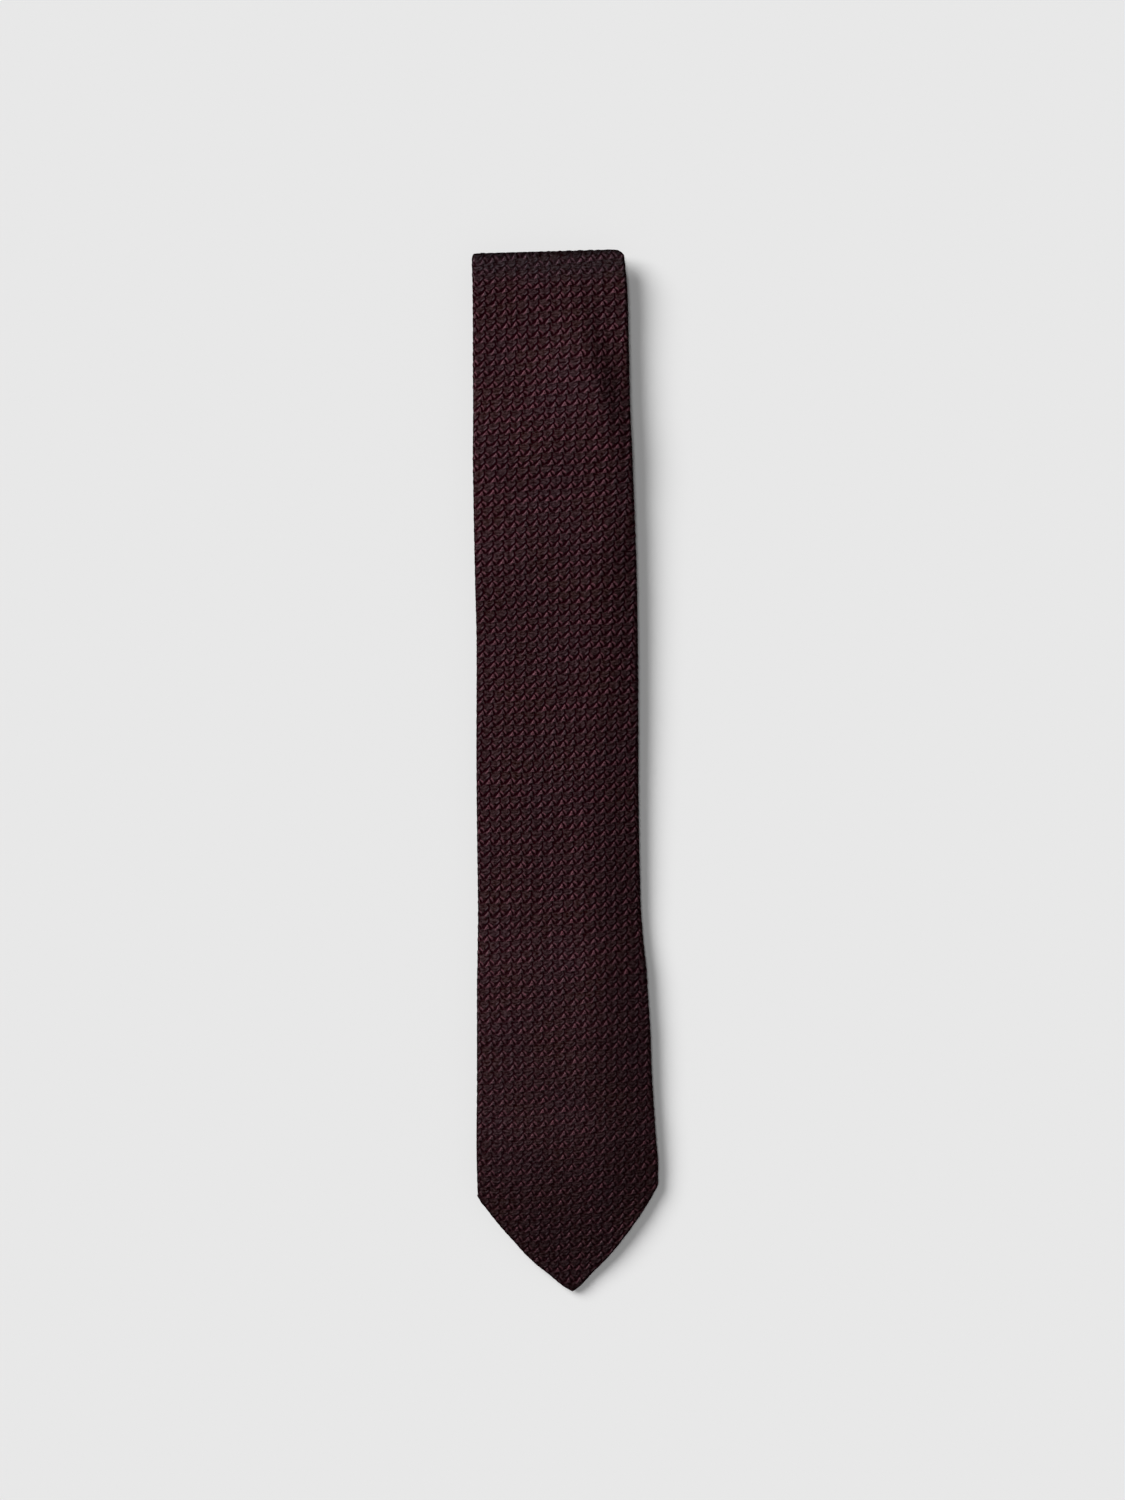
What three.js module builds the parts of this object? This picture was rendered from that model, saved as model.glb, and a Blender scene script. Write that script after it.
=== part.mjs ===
// A silk necktie folded flat in four layers, with its wide blade on top. Millimetres, +Z up.
// X runs across the blade and Y from the blade's tip to the top fold.
// The cloth is drawn straight, by how far along the tie (s), across it (u) and off its middle (n) a point
// lies, and is then laid along the folded stack. s starts at the blade's tip and ends at the tail's tip.
import * as THREE from "three";

const { clamp, lerp, smoothstep } = THREE.MathUtils;

// The cloth
const WALL = 1.05; // silk with its share of the wool inside it
const SLOT = 0.4; // air inside the flattened tube
const BACK_SLIT = 0.4; // between the two folded edges that meet at the back
const SEAM_GAP = 0.3; // between two pieces that are sewn together
const LAYER_GAP = 0.6; // air between two layers of the folded tie
const THICK = 2 * WALL + SLOT; // one whole layer of tie
const MIDLINE = (WALL + SLOT) / 2; // from a layer's middle to the middle of one wall

// How the tie is cut
const BLADE_WIDTH = 80; // corner to corner
const BLADE_POINT = 44; // from the tip to the corners
const BLADE_OPENING = 100; // from the tip to where the back closes
const BLADE_HEM = 9;
const NECK_WIDTH = 34;
const TAIL_WIDTH = 45;
const TAIL_POINT = 24;
const TAIL_OPENING = 62;
const TAIL_HEM = 6;
const TIP_FLAT = 1; // half the straight end of a point, past its rounded edges
const POINT_BOW = 0.4; // how far a point's edges bow outwards, as a share of a straight edge

// How it is folded
const APRON_LENGTH = 461; // from the blade's tip to the top fold
const LOWER_FOLD = 58; // from the blade's tip to the hidden lower fold
const FOLD_STEP = 4; // how far the lower of the two upper folds stays back
const TAIL_RUN = 146; // from that fold to the tail's tip
const TOP_PUFF = 0.5; // the two upper folds spring open by this much
const LOW_PUFF = 1.6; // and the lower one by this much
const PUFF_LENGTH = 30; // a fold closes again over this length
const TAIL_RAMP = 24; // the layers come down to the floor over this length beyond the tail's tip
const HANG_START = 8; // the apron begins to hang this far before the lower fold
const HANG_BEND = 0.55; // from 0, hanging straight down to its tip, to 1, bent over the fold
const SIDE_DROOP = 1.9; // how far the apron's sides sink beside the narrower layers below
const RIDGE_HEIGHT = 1.3; // the slanting ridge below the top fold
const SWELL_HEIGHT = 0.5; // the soft swell above the tail's tip
const FOLD_ROUND_RIGHT = 3.5; // rounding of the top fold's two corners
const FOLD_ROUND_LEFT = 1.2;
const FOLD_TAKE_UP = 12; // the relief fades out over this length before the top fold

// Where the three panels are sewn together, on seams that slant at 45 degrees to the tie
const SEAM_BELOW_TOP = 297; // first seam, from the top fold
const SEAM_ABOVE_LOW = 128; // second seam, from the lower fold
const SEAM_EASE = 90; // sections turn into the seam's slant over this length

// Small pieces at the back
const KEEPER = { fromTip: 127, across: 48, band: 12, thick: 1 };
const TACK = { past: 3, across: 10, band: 1.6, thick: 0.7 };

// The visible blade, from its tip to the top fold, as the photo shows its outline. along is a share of
// APRON_LENGTH. width and lean are shares of BLADE_WIDTH, and lean is the sideways place of the middle.
const APRON = [
  { along: 0, width: 1, lean: 0.0305 },
  { along: 0.095, width: 1, lean: 0 },
  { along: 0.142, width: 0.982, lean: -0.016 },
  { along: 0.2, width: 0.957, lean: -0.0258 },
  { along: 0.296, width: 0.936, lean: -0.0361 },
  { along: 0.335, width: 0.911, lean: -0.0445 },
  { along: 0.375, width: 0.895, lean: -0.051 },
  { along: 0.508, width: 0.893, lean: -0.0605 },
  { along: 0.624, width: 0.887, lean: -0.0625 },
  { along: 0.682, width: 0.89, lean: -0.0688 },
  { along: 0.798, width: 0.877, lean: -0.0875 },
  { along: 0.85, width: 0.861, lean: -0.0945 },
  { along: 0.971, width: 0.85, lean: -0.1025 },
  { along: 1, width: 0.842, lean: -0.107 },
];

// The rest of the tie, from the top fold to the tail's corners. width is a share of the size named in of.
const BEHIND = [
  { along: 0, of: BLADE_WIDTH, width: 0.842 },
  { along: 0.1, of: BLADE_WIDTH, width: 0.74 },
  { along: 0.25, of: BLADE_WIDTH, width: 0.575 },
  { along: 0.42, of: NECK_WIDTH, width: 1.1 },
  { along: 0.56, of: NECK_WIDTH, width: 1 },
  { along: 0.8, of: TAIL_WIDTH, width: 0.85 },
  { along: 1, of: TAIL_WIDTH, width: 1 },
];

// How the apron's sides sink. left and right are shares of SIDE_DROOP, and shelf is the share of the half
// width that still lies flat on the layers below.
const DROOP = [
  { along: 0, left: 0, right: 0, shelf: 0.3 },
  { along: 0.1, left: 0.5, right: 1, shelf: 0.25 },
  { along: 0.2, left: 0.5, right: 0.95, shelf: 0.25 },
  { along: 0.33, left: 0.4, right: 0.95, shelf: 0.3 },
  { along: 0.41, left: 0.35, right: 0.85, shelf: 0.35 },
  { along: 0.49, left: 0.3, right: 0.6, shelf: 0.45 },
  { along: 0.56, left: 0.2, right: 0.35, shelf: 0.5 },
  { along: 0.64, left: 0.2, right: 0.3, shelf: 0.5 },
  { along: 0.69, left: 0.3, right: 1, shelf: 0.5 },
  { along: 0.8, left: 0.2, right: 0.5, shelf: 0.55 },
  { along: 0.88, left: 0.1, right: 0.15, shelf: 0.6 },
  { along: 1, left: 0, right: 0, shelf: 0.6 },
];

// Soft swells of the apron's face. along is a share of APRON_LENGTH, and across and the four reaches are
// shares of BLADE_WIDTH. turn is the slant of a swell's long way, in degrees to the right going down.
const SWELLS = [
  { along: 0.872, across: 0.26, height: RIDGE_HEIGHT, up: 0.42, down: 0.4, left: 0.3, right: 0.085, turn: 15 },
  { along: 0.71, across: -0.09, height: SWELL_HEIGHT, up: 0.3, down: 0.1, left: 0.25, right: 0.22, turn: 0 },
];

/** Reads one column of a table at a place along it, on a smooth curve that never overshoots its rows. */
function column(table, at, read) {
  const x = clamp(at, table[0].along, table.at(-1).along);
  const next = Math.max(1, table.findIndex((row) => row.along >= x));
  const slope = (i) => (read(table[i + 1]) - read(table[i])) / (table[i + 1].along - table[i].along);
  const tangent = (i) => {
    if (i === 0) return slope(0);
    if (i === table.length - 1) return slope(i - 1);
    const [before, after] = [slope(i - 1), slope(i)];
    return before * after > 0 ? (2 * before * after) / (before + after) : 0;
  };
  const [a, b] = [table[next - 1], table[next]];
  const span = b.along - a.along;
  const t = (x - a.along) / span;
  const [start, end] = [tangent(next - 1) * span, tangent(next) * span];
  const rise = read(b) - read(a);
  return read(a) + t * (start + t * (3 * rise - 2 * start - end + t * (start + end - 2 * rise)));
}

/** Is 1 up to the distance flat from a centre, and falls smoothly to 0 over the distance ramp. */
function plateau(distance, flat, ramp) {
  return 1 - smoothstep(Math.abs(distance), flat, flat + ramp);
}

// Where the folds turn, and the radius of a fold's middle
const TOP_TURN = (THICK + LAYER_GAP + TOP_PUFF) / 2;
const LOW_TURN = (THICK + LAYER_GAP + LOW_PUFF) / 2;
const TOP_Y = APRON_LENGTH - TOP_TURN - THICK / 2;
const LOW_Y = LOWER_FOLD + LOW_TURN + THICK / 2;
const INNER_Y = TOP_Y - FOLD_STEP;
const TAIL_END_Y = APRON_LENGTH - FOLD_STEP - TAIL_RUN;
const TAIL_TACK_Y = TAIL_END_Y + TAIL_OPENING + TACK.past;
const FOLD_FLAT = 2 * THICK; // the layers beside a fold are level over this length

// Heights of the middle of each layer above the floor, from the lowest layer up
const gapNear = (puff, distance) => LAYER_GAP + puff * plateau(distance, FOLD_FLAT, PUFF_LENGTH);
const lifted = (thick) => Math.max(0, 2 * SEAM_GAP + thick - LAYER_GAP); // room for a piece between two layers
const roomFor = (piece, distance) => lifted(piece.thick) * plateau(distance, piece.band, 2 * KEEPER.band);

function tailHeight() {
  return THICK / 2;
}

function thirdHeight(y) {
  const onTail = smoothstep(y, TAIL_END_Y - TAIL_RAMP, TAIL_END_Y - THICK / 2);
  const overTack = roomFor(TACK, y - TAIL_TACK_Y);
  return THICK / 2 + onTail * (THICK + gapNear(TOP_PUFF, INNER_Y - y) + overTack);
}

function secondHeight(y) {
  return thirdHeight(y) + THICK + gapNear(LOW_PUFF, y - LOW_Y);
}

function stackedHeight(y) {
  const overKeeper = roomFor(KEEPER, y - KEEPER.fromTip);
  const overTack = roomFor(TACK, y - (BLADE_OPENING + TACK.past));
  return secondHeight(y) + THICK + gapNear(TOP_PUFF, TOP_Y - y) + Math.max(overKeeper, overTack);
}

/** The apron lies on the stack and hangs from the lower fold down to its tip on the floor. */
function apronHeight(y) {
  const edge = LOW_Y + HANG_START;
  if (y >= edge) return stackedHeight(y);
  const share = y / edge;
  const fall = lerp(share, Math.sin((share * Math.PI) / 2), HANG_BEND);
  return lerp(THICK / 2, stackedHeight(edge), fall);
}

// The tie runs up the apron, and then down, up and down again below it. turn is the fold after a leg.
const LEGS = [
  { from: 0, to: TOP_Y, height: apronHeight, turn: TOP_TURN },
  { from: TOP_Y, to: LOW_Y, height: secondHeight, turn: LOW_TURN },
  { from: LOW_Y, to: INNER_Y, height: thirdHeight, turn: TOP_TURN },
  { from: INNER_Y, to: TAIL_END_Y, height: tailHeight, turn: 0 },
];
let legStart = 0;
for (const leg of LEGS) {
  leg.start = legStart;
  leg.end = legStart + Math.abs(leg.to - leg.from);
  leg.folded = leg.end + Math.PI * leg.turn;
  legStart = leg.folded;
}
const TIE_LENGTH = legStart;
const FIRST_SEAM = LEGS[1].start + SEAM_BELOW_TOP;
const SECOND_SEAM = LEGS[2].start + SEAM_ABOVE_LOW;

/** Where the layer's middle lies at s, seen from the side, and how far it is round a fold. */
function pathAt(s) {
  const index = LEGS.findIndex((leg) => s <= leg.folded || leg.turn === 0);
  const { from, to, start, end, height, turn } = LEGS[index];
  const ahead = Math.sign(to - from);
  if (s <= end || turn === 0) {
    const y = from + ahead * (s - start);
    return { index, y, z: height(y), round: 0 };
  }
  const angle = (s - end) / turn;
  return {
    index,
    y: to + ahead * turn * Math.sin(angle),
    z: height(to) + turn * (Math.cos(angle) - 1),
    round: 1 - Math.abs(Math.cos(angle)),
  };
}

/** Half the tie's width at s. side is -1 on the left and 1 on the right of the visible face. */
function halfWidth(s, side) {
  const along = s / APRON_LENGTH;
  const behind = (s - APRON_LENGTH) / (TIE_LENGTH - TAIL_POINT - APRON_LENGTH);
  const full =
    along < 1
      ? (BLADE_WIDTH / 2) * column(APRON, along, (row) => row.width)
      : column(BEHIND, behind, (row) => row.of * row.width) / 2;
  const blunt = THICK / 2 + TIP_FLAT;
  const bowed = (share) => share * (1 + POINT_BOW * (1 - share));
  if (s < BLADE_POINT) return lerp(blunt, full, bowed(s / BLADE_POINT));
  const fromTail = TIE_LENGTH - s;
  if (fromTail < TAIL_POINT) return lerp(blunt, full, bowed(fromTail / TAIL_POINT));
  const at = pathAt(s);
  const corner = side > 0 ? FOLD_ROUND_RIGHT : FOLD_ROUND_LEFT;
  return at.index === 0 ? full - corner * at.round : full;
}

/** How far from the middle the flap at the back ends: at the slit, or at the hem round a point. */
function flapEdge(s, side) {
  const shut = BACK_SLIT / 2;
  const ends = [
    { from: s, point: BLADE_POINT, opening: BLADE_OPENING, hem: BLADE_HEM, width: BLADE_WIDTH },
    { from: TIE_LENGTH - s, point: TAIL_POINT, opening: TAIL_OPENING, hem: TAIL_HEM, width: TAIL_WIDTH },
  ];
  const end = ends[0].from < ends[1].from ? ends[0] : ends[1];
  const slanted = end.hem * Math.hypot(1, end.width / 2 / end.point); // the hem, measured straight across
  const open = Math.max(shut, halfWidth(s, side) - slanted);
  const closing = clamp((end.from - end.point) / (end.opening - end.point), 0, 1);
  return lerp(open, shut, closing);
}

/** How much of its full sag the apron has at a distance out from the middle, as a hanging edge bends. */
function bend(out, full, shelf) {
  const share = Math.max(0, (out - shelf) / (full - shelf));
  return (share * share * (3 - Math.min(share, 1))) / 2;
}

/** The sinking sides of the apron, above the level where it leaves the narrower layer below it. */
function droop(y, u) {
  const along = y / APRON_LENGTH;
  const onBlade = Math.max(y, BLADE_POINT);
  const below = LEGS[1].start + TOP_Y - Math.max(y, LOW_Y);
  const shelf = column(DROOP, along, (row) => row.shelf);
  const sides = [
    { side: -1, sunk: column(DROOP, along, (row) => row.left) },
    { side: 1, sunk: column(DROOP, along, (row) => row.right) },
  ].map(({ side, sunk }) => {
    const full = halfWidth(onBlade, side);
    const at = (out) => sunk * bend(out, full, shelf * full);
    return { held: at(Math.min(halfWidth(below, side), full)), here: at(Math.abs(u)) };
  });
  return SIDE_DROOP * (Math.max(sides[0].held, sides[1].held) - sides[u < 0 ? 0 : 1].here);
}

/** What the apron's sides and swells add to its height. */
function relief(y, u) {
  let height = droop(y, u);
  for (const swell of SWELLS) {
    const turn = THREE.MathUtils.degToRad(swell.turn);
    const dy = y - swell.along * APRON_LENGTH;
    const dx = u - swell.across * BLADE_WIDTH;
    const uphill = dy * Math.cos(turn) - dx * Math.sin(turn);
    const sideways = dx * Math.cos(turn) + dy * Math.sin(turn);
    const long = uphill / BLADE_WIDTH / (uphill > 0 ? swell.up : swell.down);
    const wide = sideways / BLADE_WIDTH / (sideways > 0 ? swell.right : swell.left);
    height += swell.height * Math.exp(-long * long - wide * wide);
  }
  return height * smoothstep(TOP_Y - y, 0, FOLD_TAKE_UP);
}

/** A point of a layer's middle surface, with the tie's lean and slight curve in plan. */
function middle(s, u) {
  const at = pathAt(s);
  const leanAt = (y) => BLADE_WIDTH * column(APRON, y / APRON_LENGTH, (row) => row.lean);
  const step = 1;
  const angle = Math.atan((leanAt(at.y - step) - leanAt(at.y + step)) / (2 * step));
  const lift = s < TOP_Y ? relief(at.y, u) : 0;
  return new THREE.Vector3(leanAt(at.y) + u * Math.cos(angle), at.y + u * Math.sin(angle), at.z + lift);
}

/** The point that lies n off the layer's middle surface, towards the face of the silk where n is positive. */
function place(s, u, n) {
  const step = 0.02;
  const across = middle(s, u + step).sub(middle(s, u - step));
  const ahead = middle(s + step, u).sub(middle(s - step, u));
  return middle(s, u).addScaledVector(across.cross(ahead).normalize(), n);
}

/** One half of the wall's way round: along the face, round the folded edge and back along the flap. */
function halfSection(flatSteps, edgeSteps) {
  const steps = (count) => Array.from({ length: count }, (_, i) => i / count);
  return [
    ...steps(flatSteps).map((at) => ({ around: at, flat: at, angle: 90, back: false })),
    ...steps(edgeSteps).map((at) => ({ around: 1, flat: 1, angle: 90 - 180 * at, back: false })),
    ...steps(flatSteps).map((at) => ({ around: 1 + at, flat: 1 - at, angle: -90, back: true })),
    { around: 2, flat: 0, angle: -90, back: true },
  ];
}

/** How much a section is slanted: not at all, or by the whole bias at a panel's sewn end. */
function slantAt(station, seams) {
  return Math.max(0, ...seams.map((seam) => 1 - smoothstep(Math.abs(station - seam), 0, SEAM_EASE)));
}

/** The outer and inner points of the wall at one station, as a closed ring. */
function ringAt(station, half, slant) {
  const outer = [];
  const inner = [];
  const add = (row, side) => {
    const s = station + slant * side * row.around * halfWidth(station, side);
    const radius = halfWidth(s, side) - THICK / 2; // where the folded edge begins to turn
    const start = row.back ? Math.min(flapEdge(s, side), radius) : 0;
    const turned = THREE.MathUtils.degToRad(row.angle);
    const [nu, nn] = [Math.cos(turned), Math.sin(turned)];
    const flat = lerp(start, radius, row.flat);
    const point = (off) => place(s, side * (flat + off * nu), off * nn);
    outer.push(point(MIDLINE + WALL / 2));
    inner.push(point(MIDLINE - WALL / 2));
  };
  for (const row of [...half].reverse()) add(row, -1);
  for (const row of half.slice(1)) add(row, 1);
  return [...outer, ...inner.reverse()];
}

/** A closed solid through rings of matching points, whose first half lies across from its second half. */
function loft(rings) {
  const count = rings[0].length;
  const index = [];
  const quad = (a, b, c, d) => index.push(a, b, c, a, c, d);
  for (let r = 0; r + 1 < rings.length; r += 1) {
    for (let i = 0; i < count; i += 1) {
      const j = (i + 1) % count;
      quad(r * count + i, r * count + j, (r + 1) * count + j, (r + 1) * count + i);
    }
  }
  const last = (rings.length - 1) * count;
  for (let i = 0; i + 1 < count / 2; i += 1) {
    const far = count - 1 - i;
    quad(i, far, far - 1, i + 1);
    quad(last + i, last + i + 1, last + far - 1, last + far);
  }
  const positions = rings.flat().flatMap((point) => point.toArray());
  const geometry = new THREE.BufferGeometry();
  geometry.setAttribute("position", new THREE.Float32BufferAttribute(positions, 3));
  geometry.setIndex(index);
  geometry.computeVertexNormals();
  return geometry;
}

/** Evenly spaced places between two ends, both of them left in. */
function spaced(from, to, spacing) {
  const count = Math.max(1, Math.ceil((to - from) / spacing));
  return Array.from({ length: count + 1 }, (_, i) => lerp(from, to, i / count));
}

// Where the layers rise or fall quickly, the legs named there get closer sections
const BUSY = [
  { y: TAIL_END_Y - TAIL_RAMP / 2, half: TAIL_RAMP / 2 + 4, spacing: 5, legs: [0, 1, 2] },
  { y: TAIL_TACK_Y, half: 14, spacing: 7, legs: [1, 2] },
  { y: KEEPER.fromTip, half: 24, spacing: 6, legs: [0] },
];

// How close sections lie, and where they lie on the two points, as shares of a point's length from its tip
const SPACING = { apron: 11, hidden: 26, sharp: 0.5, gentle: 4 };
const BLADE_POINT_SHARES = [0, 0.06, 0.15, 0.28, 0.43, 0.58, 0.72, 0.86, 0.97, 1];
const TAIL_POINT_SHARES = [0, 0.1, 0.3, 0.55, 0.8, 0.97, 1];

// Sections that a fold or a point needs exactly, and sections that only follow the gentle rest
const SHARP = [
  ...BLADE_POINT_SHARES.map((share) => share * BLADE_POINT),
  ...LEGS.filter((leg) => leg.turn > 0).flatMap((leg) => spaced(leg.end, leg.folded, leg.turn / 2)),
  ...TAIL_POINT_SHARES.map((share) => TIE_LENGTH - share * TAIL_POINT),
];
const GENTLE = [
  ...BUSY.flatMap(({ y, half, spacing, legs }) =>
    legs.flatMap((i) => {
      const s = LEGS[i].start + Math.abs(y - LEGS[i].from);
      return spaced(s - half, s + half, spacing);
    }),
  ),
  ...spaced(BLADE_POINT, TOP_Y, SPACING.apron),
  ...LEGS.slice(1).flatMap((leg) => spaced(leg.start, leg.end, SPACING.hidden)),
];

/** The stations of a panel between its two ends, none of them too near another. */
function stationsBetween(from, to) {
  const kept = [from, to];
  const add = (s, nearest) => {
    if (s > from && s < to && kept.every((other) => Math.abs(s - other) >= nearest)) kept.push(s);
  };
  for (const s of SHARP) add(s, SPACING.sharp);
  for (const s of GENTLE) add(s, SPACING.gentle);
  return kept.sort((a, b) => a - b);
}

function panel(from, to, seams, half) {
  return loft(stationsBetween(from, to).map((s) => ringAt(s, half, slantAt(s, seams))));
}

/** A short flat band across the back of the tie at s, with rounded long edges. */
function band({ across, band: width, thick }, s, steps) {
  const top = -(THICK / 2 + SEAM_GAP);
  const corner = thick / 4;
  const section = [
    { along: -width / 2, off: top - corner },
    { along: -width / 2, off: top - thick + corner },
    { along: -width / 2 + corner, off: top - thick },
    { along: width / 2 - corner, off: top - thick },
    { along: width / 2, off: top - thick + corner },
    { along: width / 2, off: top - corner },
    { along: width / 2 - corner, off: top },
    { along: -width / 2 + corner, off: top },
  ];
  const rings = spaced(-across / 2, across / 2, across / steps).map((u) =>
    section.map((point) => place(s + point.along, u, point.off)),
  );
  return loft(rings);
}

const silk = (color) => new THREE.MeshStandardMaterial({ color, roughness: 0.85, metalness: 0 });
const seamHalf = (SEAM_GAP / 2) * Math.SQRT2; // half the gap, measured along the tie
const wall = halfSection(3, 3);

const pieces = [
  {
    name: "front_blade",
    geometry: panel(0, FIRST_SEAM - seamHalf, [FIRST_SEAM], wall),
    material: silk(0x2c1a1d),
  },
  {
    name: "neck",
    geometry: panel(FIRST_SEAM + seamHalf, SECOND_SEAM - seamHalf, [FIRST_SEAM, SECOND_SEAM], wall),
    material: silk(0x2a191c),
  },
  {
    name: "tail",
    geometry: panel(SECOND_SEAM + seamHalf, TIE_LENGTH, [SECOND_SEAM], wall),
    material: silk(0x2c1a1d),
  },
  { name: "keeper_loop", geometry: band(KEEPER, KEEPER.fromTip, 10), material: silk(0x30191d) },
  {
    name: "blade_bar_tack",
    geometry: band(TACK, BLADE_OPENING + TACK.past, 3),
    material: silk(0x3a1a20),
  },
  {
    name: "tail_bar_tack",
    geometry: band(TACK, TIE_LENGTH - TAIL_OPENING - TACK.past, 3),
    material: silk(0x3a1a20),
  },
];

const tie = new THREE.Group();
for (const { name, geometry, material } of pieces) {
  const mesh = new THREE.Mesh(geometry, material);
  mesh.name = name;
  tie.add(mesh);
}

// The origin is on the floor below the middle of the whole tie
const box = new THREE.Box3().setFromObject(tie);
const centre = box.getCenter(new THREE.Vector3());
tie.position.set(-centre.x, -centre.y, -box.min.z);

const necktie = new THREE.Group();
necktie.add(tie);

export default necktie;
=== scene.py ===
"""Looks of a silk necktie that lies folded flat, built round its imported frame.

The tie is drawn straight, by how far along it (s), across it (u) and off its middle (n) a point lies. It
is then laid along its folded stack, as its frame is. Sizes are in millimetres until a mesh is made.
"""

import logging
import math
from collections.abc import Callable, Sequence
from dataclasses import dataclass
from enum import Enum

import bpy
import numpy as np
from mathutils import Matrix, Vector

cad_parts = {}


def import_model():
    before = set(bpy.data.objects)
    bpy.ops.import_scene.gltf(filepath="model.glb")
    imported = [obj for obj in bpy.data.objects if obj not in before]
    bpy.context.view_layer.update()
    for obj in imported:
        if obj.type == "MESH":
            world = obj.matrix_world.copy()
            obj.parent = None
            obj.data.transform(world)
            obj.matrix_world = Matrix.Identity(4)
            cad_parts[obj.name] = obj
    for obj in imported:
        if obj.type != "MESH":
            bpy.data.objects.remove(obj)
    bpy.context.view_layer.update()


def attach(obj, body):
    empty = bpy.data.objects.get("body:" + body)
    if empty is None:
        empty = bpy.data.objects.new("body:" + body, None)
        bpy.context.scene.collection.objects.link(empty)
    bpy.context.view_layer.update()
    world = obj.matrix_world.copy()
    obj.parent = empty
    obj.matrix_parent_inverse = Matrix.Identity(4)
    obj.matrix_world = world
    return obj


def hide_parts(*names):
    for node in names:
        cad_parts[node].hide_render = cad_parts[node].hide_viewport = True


LOG = logging.getLogger("necktie")
MM = 0.001
WEAVE_MAP = "weave"
Array = np.ndarray

# Node types that are used often
MATH = "ShaderNodeMath"
VECTOR_MATH = "ShaderNodeVectorMath"
MAP_RANGE = "ShaderNodeMapRange"
MIX = "ShaderNodeMix"
NOISE = "ShaderNodeTexNoise"
WAVE = "ShaderNodeTexWave"
SEPARATE = "ShaderNodeSeparateXYZ"
COMBINE = "ShaderNodeCombineXYZ"
PRINCIPLED = "ShaderNodeBsdfPrincipled"
OUTPUT = "ShaderNodeOutputMaterial"
TRANSFORM = "GeometryNodeTransform"


class SmoothTable:
    """One column of a short table, read on a smooth curve that never overshoots its rows."""

    def __init__(self, rows: Sequence[tuple[float, float]]) -> None:
        """Works out a slope at each row.

        Args:
            rows: Pairs of place and value, in order of place.
        """
        self.at, self.value = np.array(rows, float).T
        slope = np.diff(self.value) / np.diff(self.at)
        before, after = slope[:-1], slope[1:]
        same_way = before * after > 0
        total = np.where(same_way, before + after, 1.0)
        inner = np.where(same_way, 2 * before * after / total, 0.0)
        self.tangent = np.concatenate([slope[:1], inner, slope[-1:]])

    def __call__(self, place: Array) -> Array:
        """Reads the table.

        Args:
            place: Places along the table.

        Returns:
            The values there, with the end rows' values beyond the ends.
        """
        x = np.clip(place, self.at[0], self.at[-1])
        i = np.clip(np.searchsorted(self.at, x) - 1, 0, len(self.at) - 2)
        span = self.at[i + 1] - self.at[i]
        t = (x - self.at[i]) / span
        start, end = self.tangent[i] * span, self.tangent[i + 1] * span
        rise = self.value[i + 1] - self.value[i]
        return self.value[i] + t * (start + t * (3 * rise - 2 * start - end + t * (start + end - 2 * rise)))


def smoothstep(x: Array, low: float, high: float) -> Array:
    """Rises smoothly from 0 at low to 1 at high."""
    t = np.clip((np.asarray(x, float) - low) / (high - low), 0, 1)
    return t * t * (3 - 2 * t)


def plateau(distance: Array, flat: float, ramp: float) -> Array:
    """Is 1 up to the distance flat from a centre, and falls smoothly to 0 over the distance ramp."""
    return 1 - smoothstep(np.abs(distance), flat, flat + ramp)


def lerp(a: Array, b: Array, share: Array) -> Array:
    """Goes from a to b as share goes from 0 to 1."""
    return a + (b - a) * share


def spaced(start: float, end: float, spacing: float) -> Array:
    """Evenly spaced places between two ends, both of them left in."""
    return np.linspace(start, end, max(2, math.ceil((end - start) / spacing) + 1))


@dataclass(frozen=True)
class Point:
    """One pointed end of the tie.

    It has its width at the corners, the length of its point, how far up its back is open, the depth of its
    hem, and half the flat width of its very end.
    """

    width: float
    length: float
    opening: float
    hem: float
    flat: float

    def half_width(self, distance: Array, full: Array, blunt: float, bow: float) -> Array:
        """Half the width of the point.

        Args:
            distance: How far from its end.
            full: Half the width at its corners.
            blunt: Half the width at its end.
            bow: How far its sides bulge, as a share.

        Returns:
            The half widths there.
        """
        share = distance / self.length
        return lerp(blunt, full, share * (1 + bow * (1 - share)))


@dataclass(frozen=True)
class Band:
    """A band over the tie's back: its length across the tie, its width along it and its thickness."""

    across: float
    band: float
    thick: float


@dataclass(frozen=True)
class Swell:
    """A soft swell of the face. Its reaches are shares of the blade's width, and turn is in degrees."""

    along: float
    across: float
    height: float
    up: float
    down: float
    left: float
    right: float
    turn: float


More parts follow.
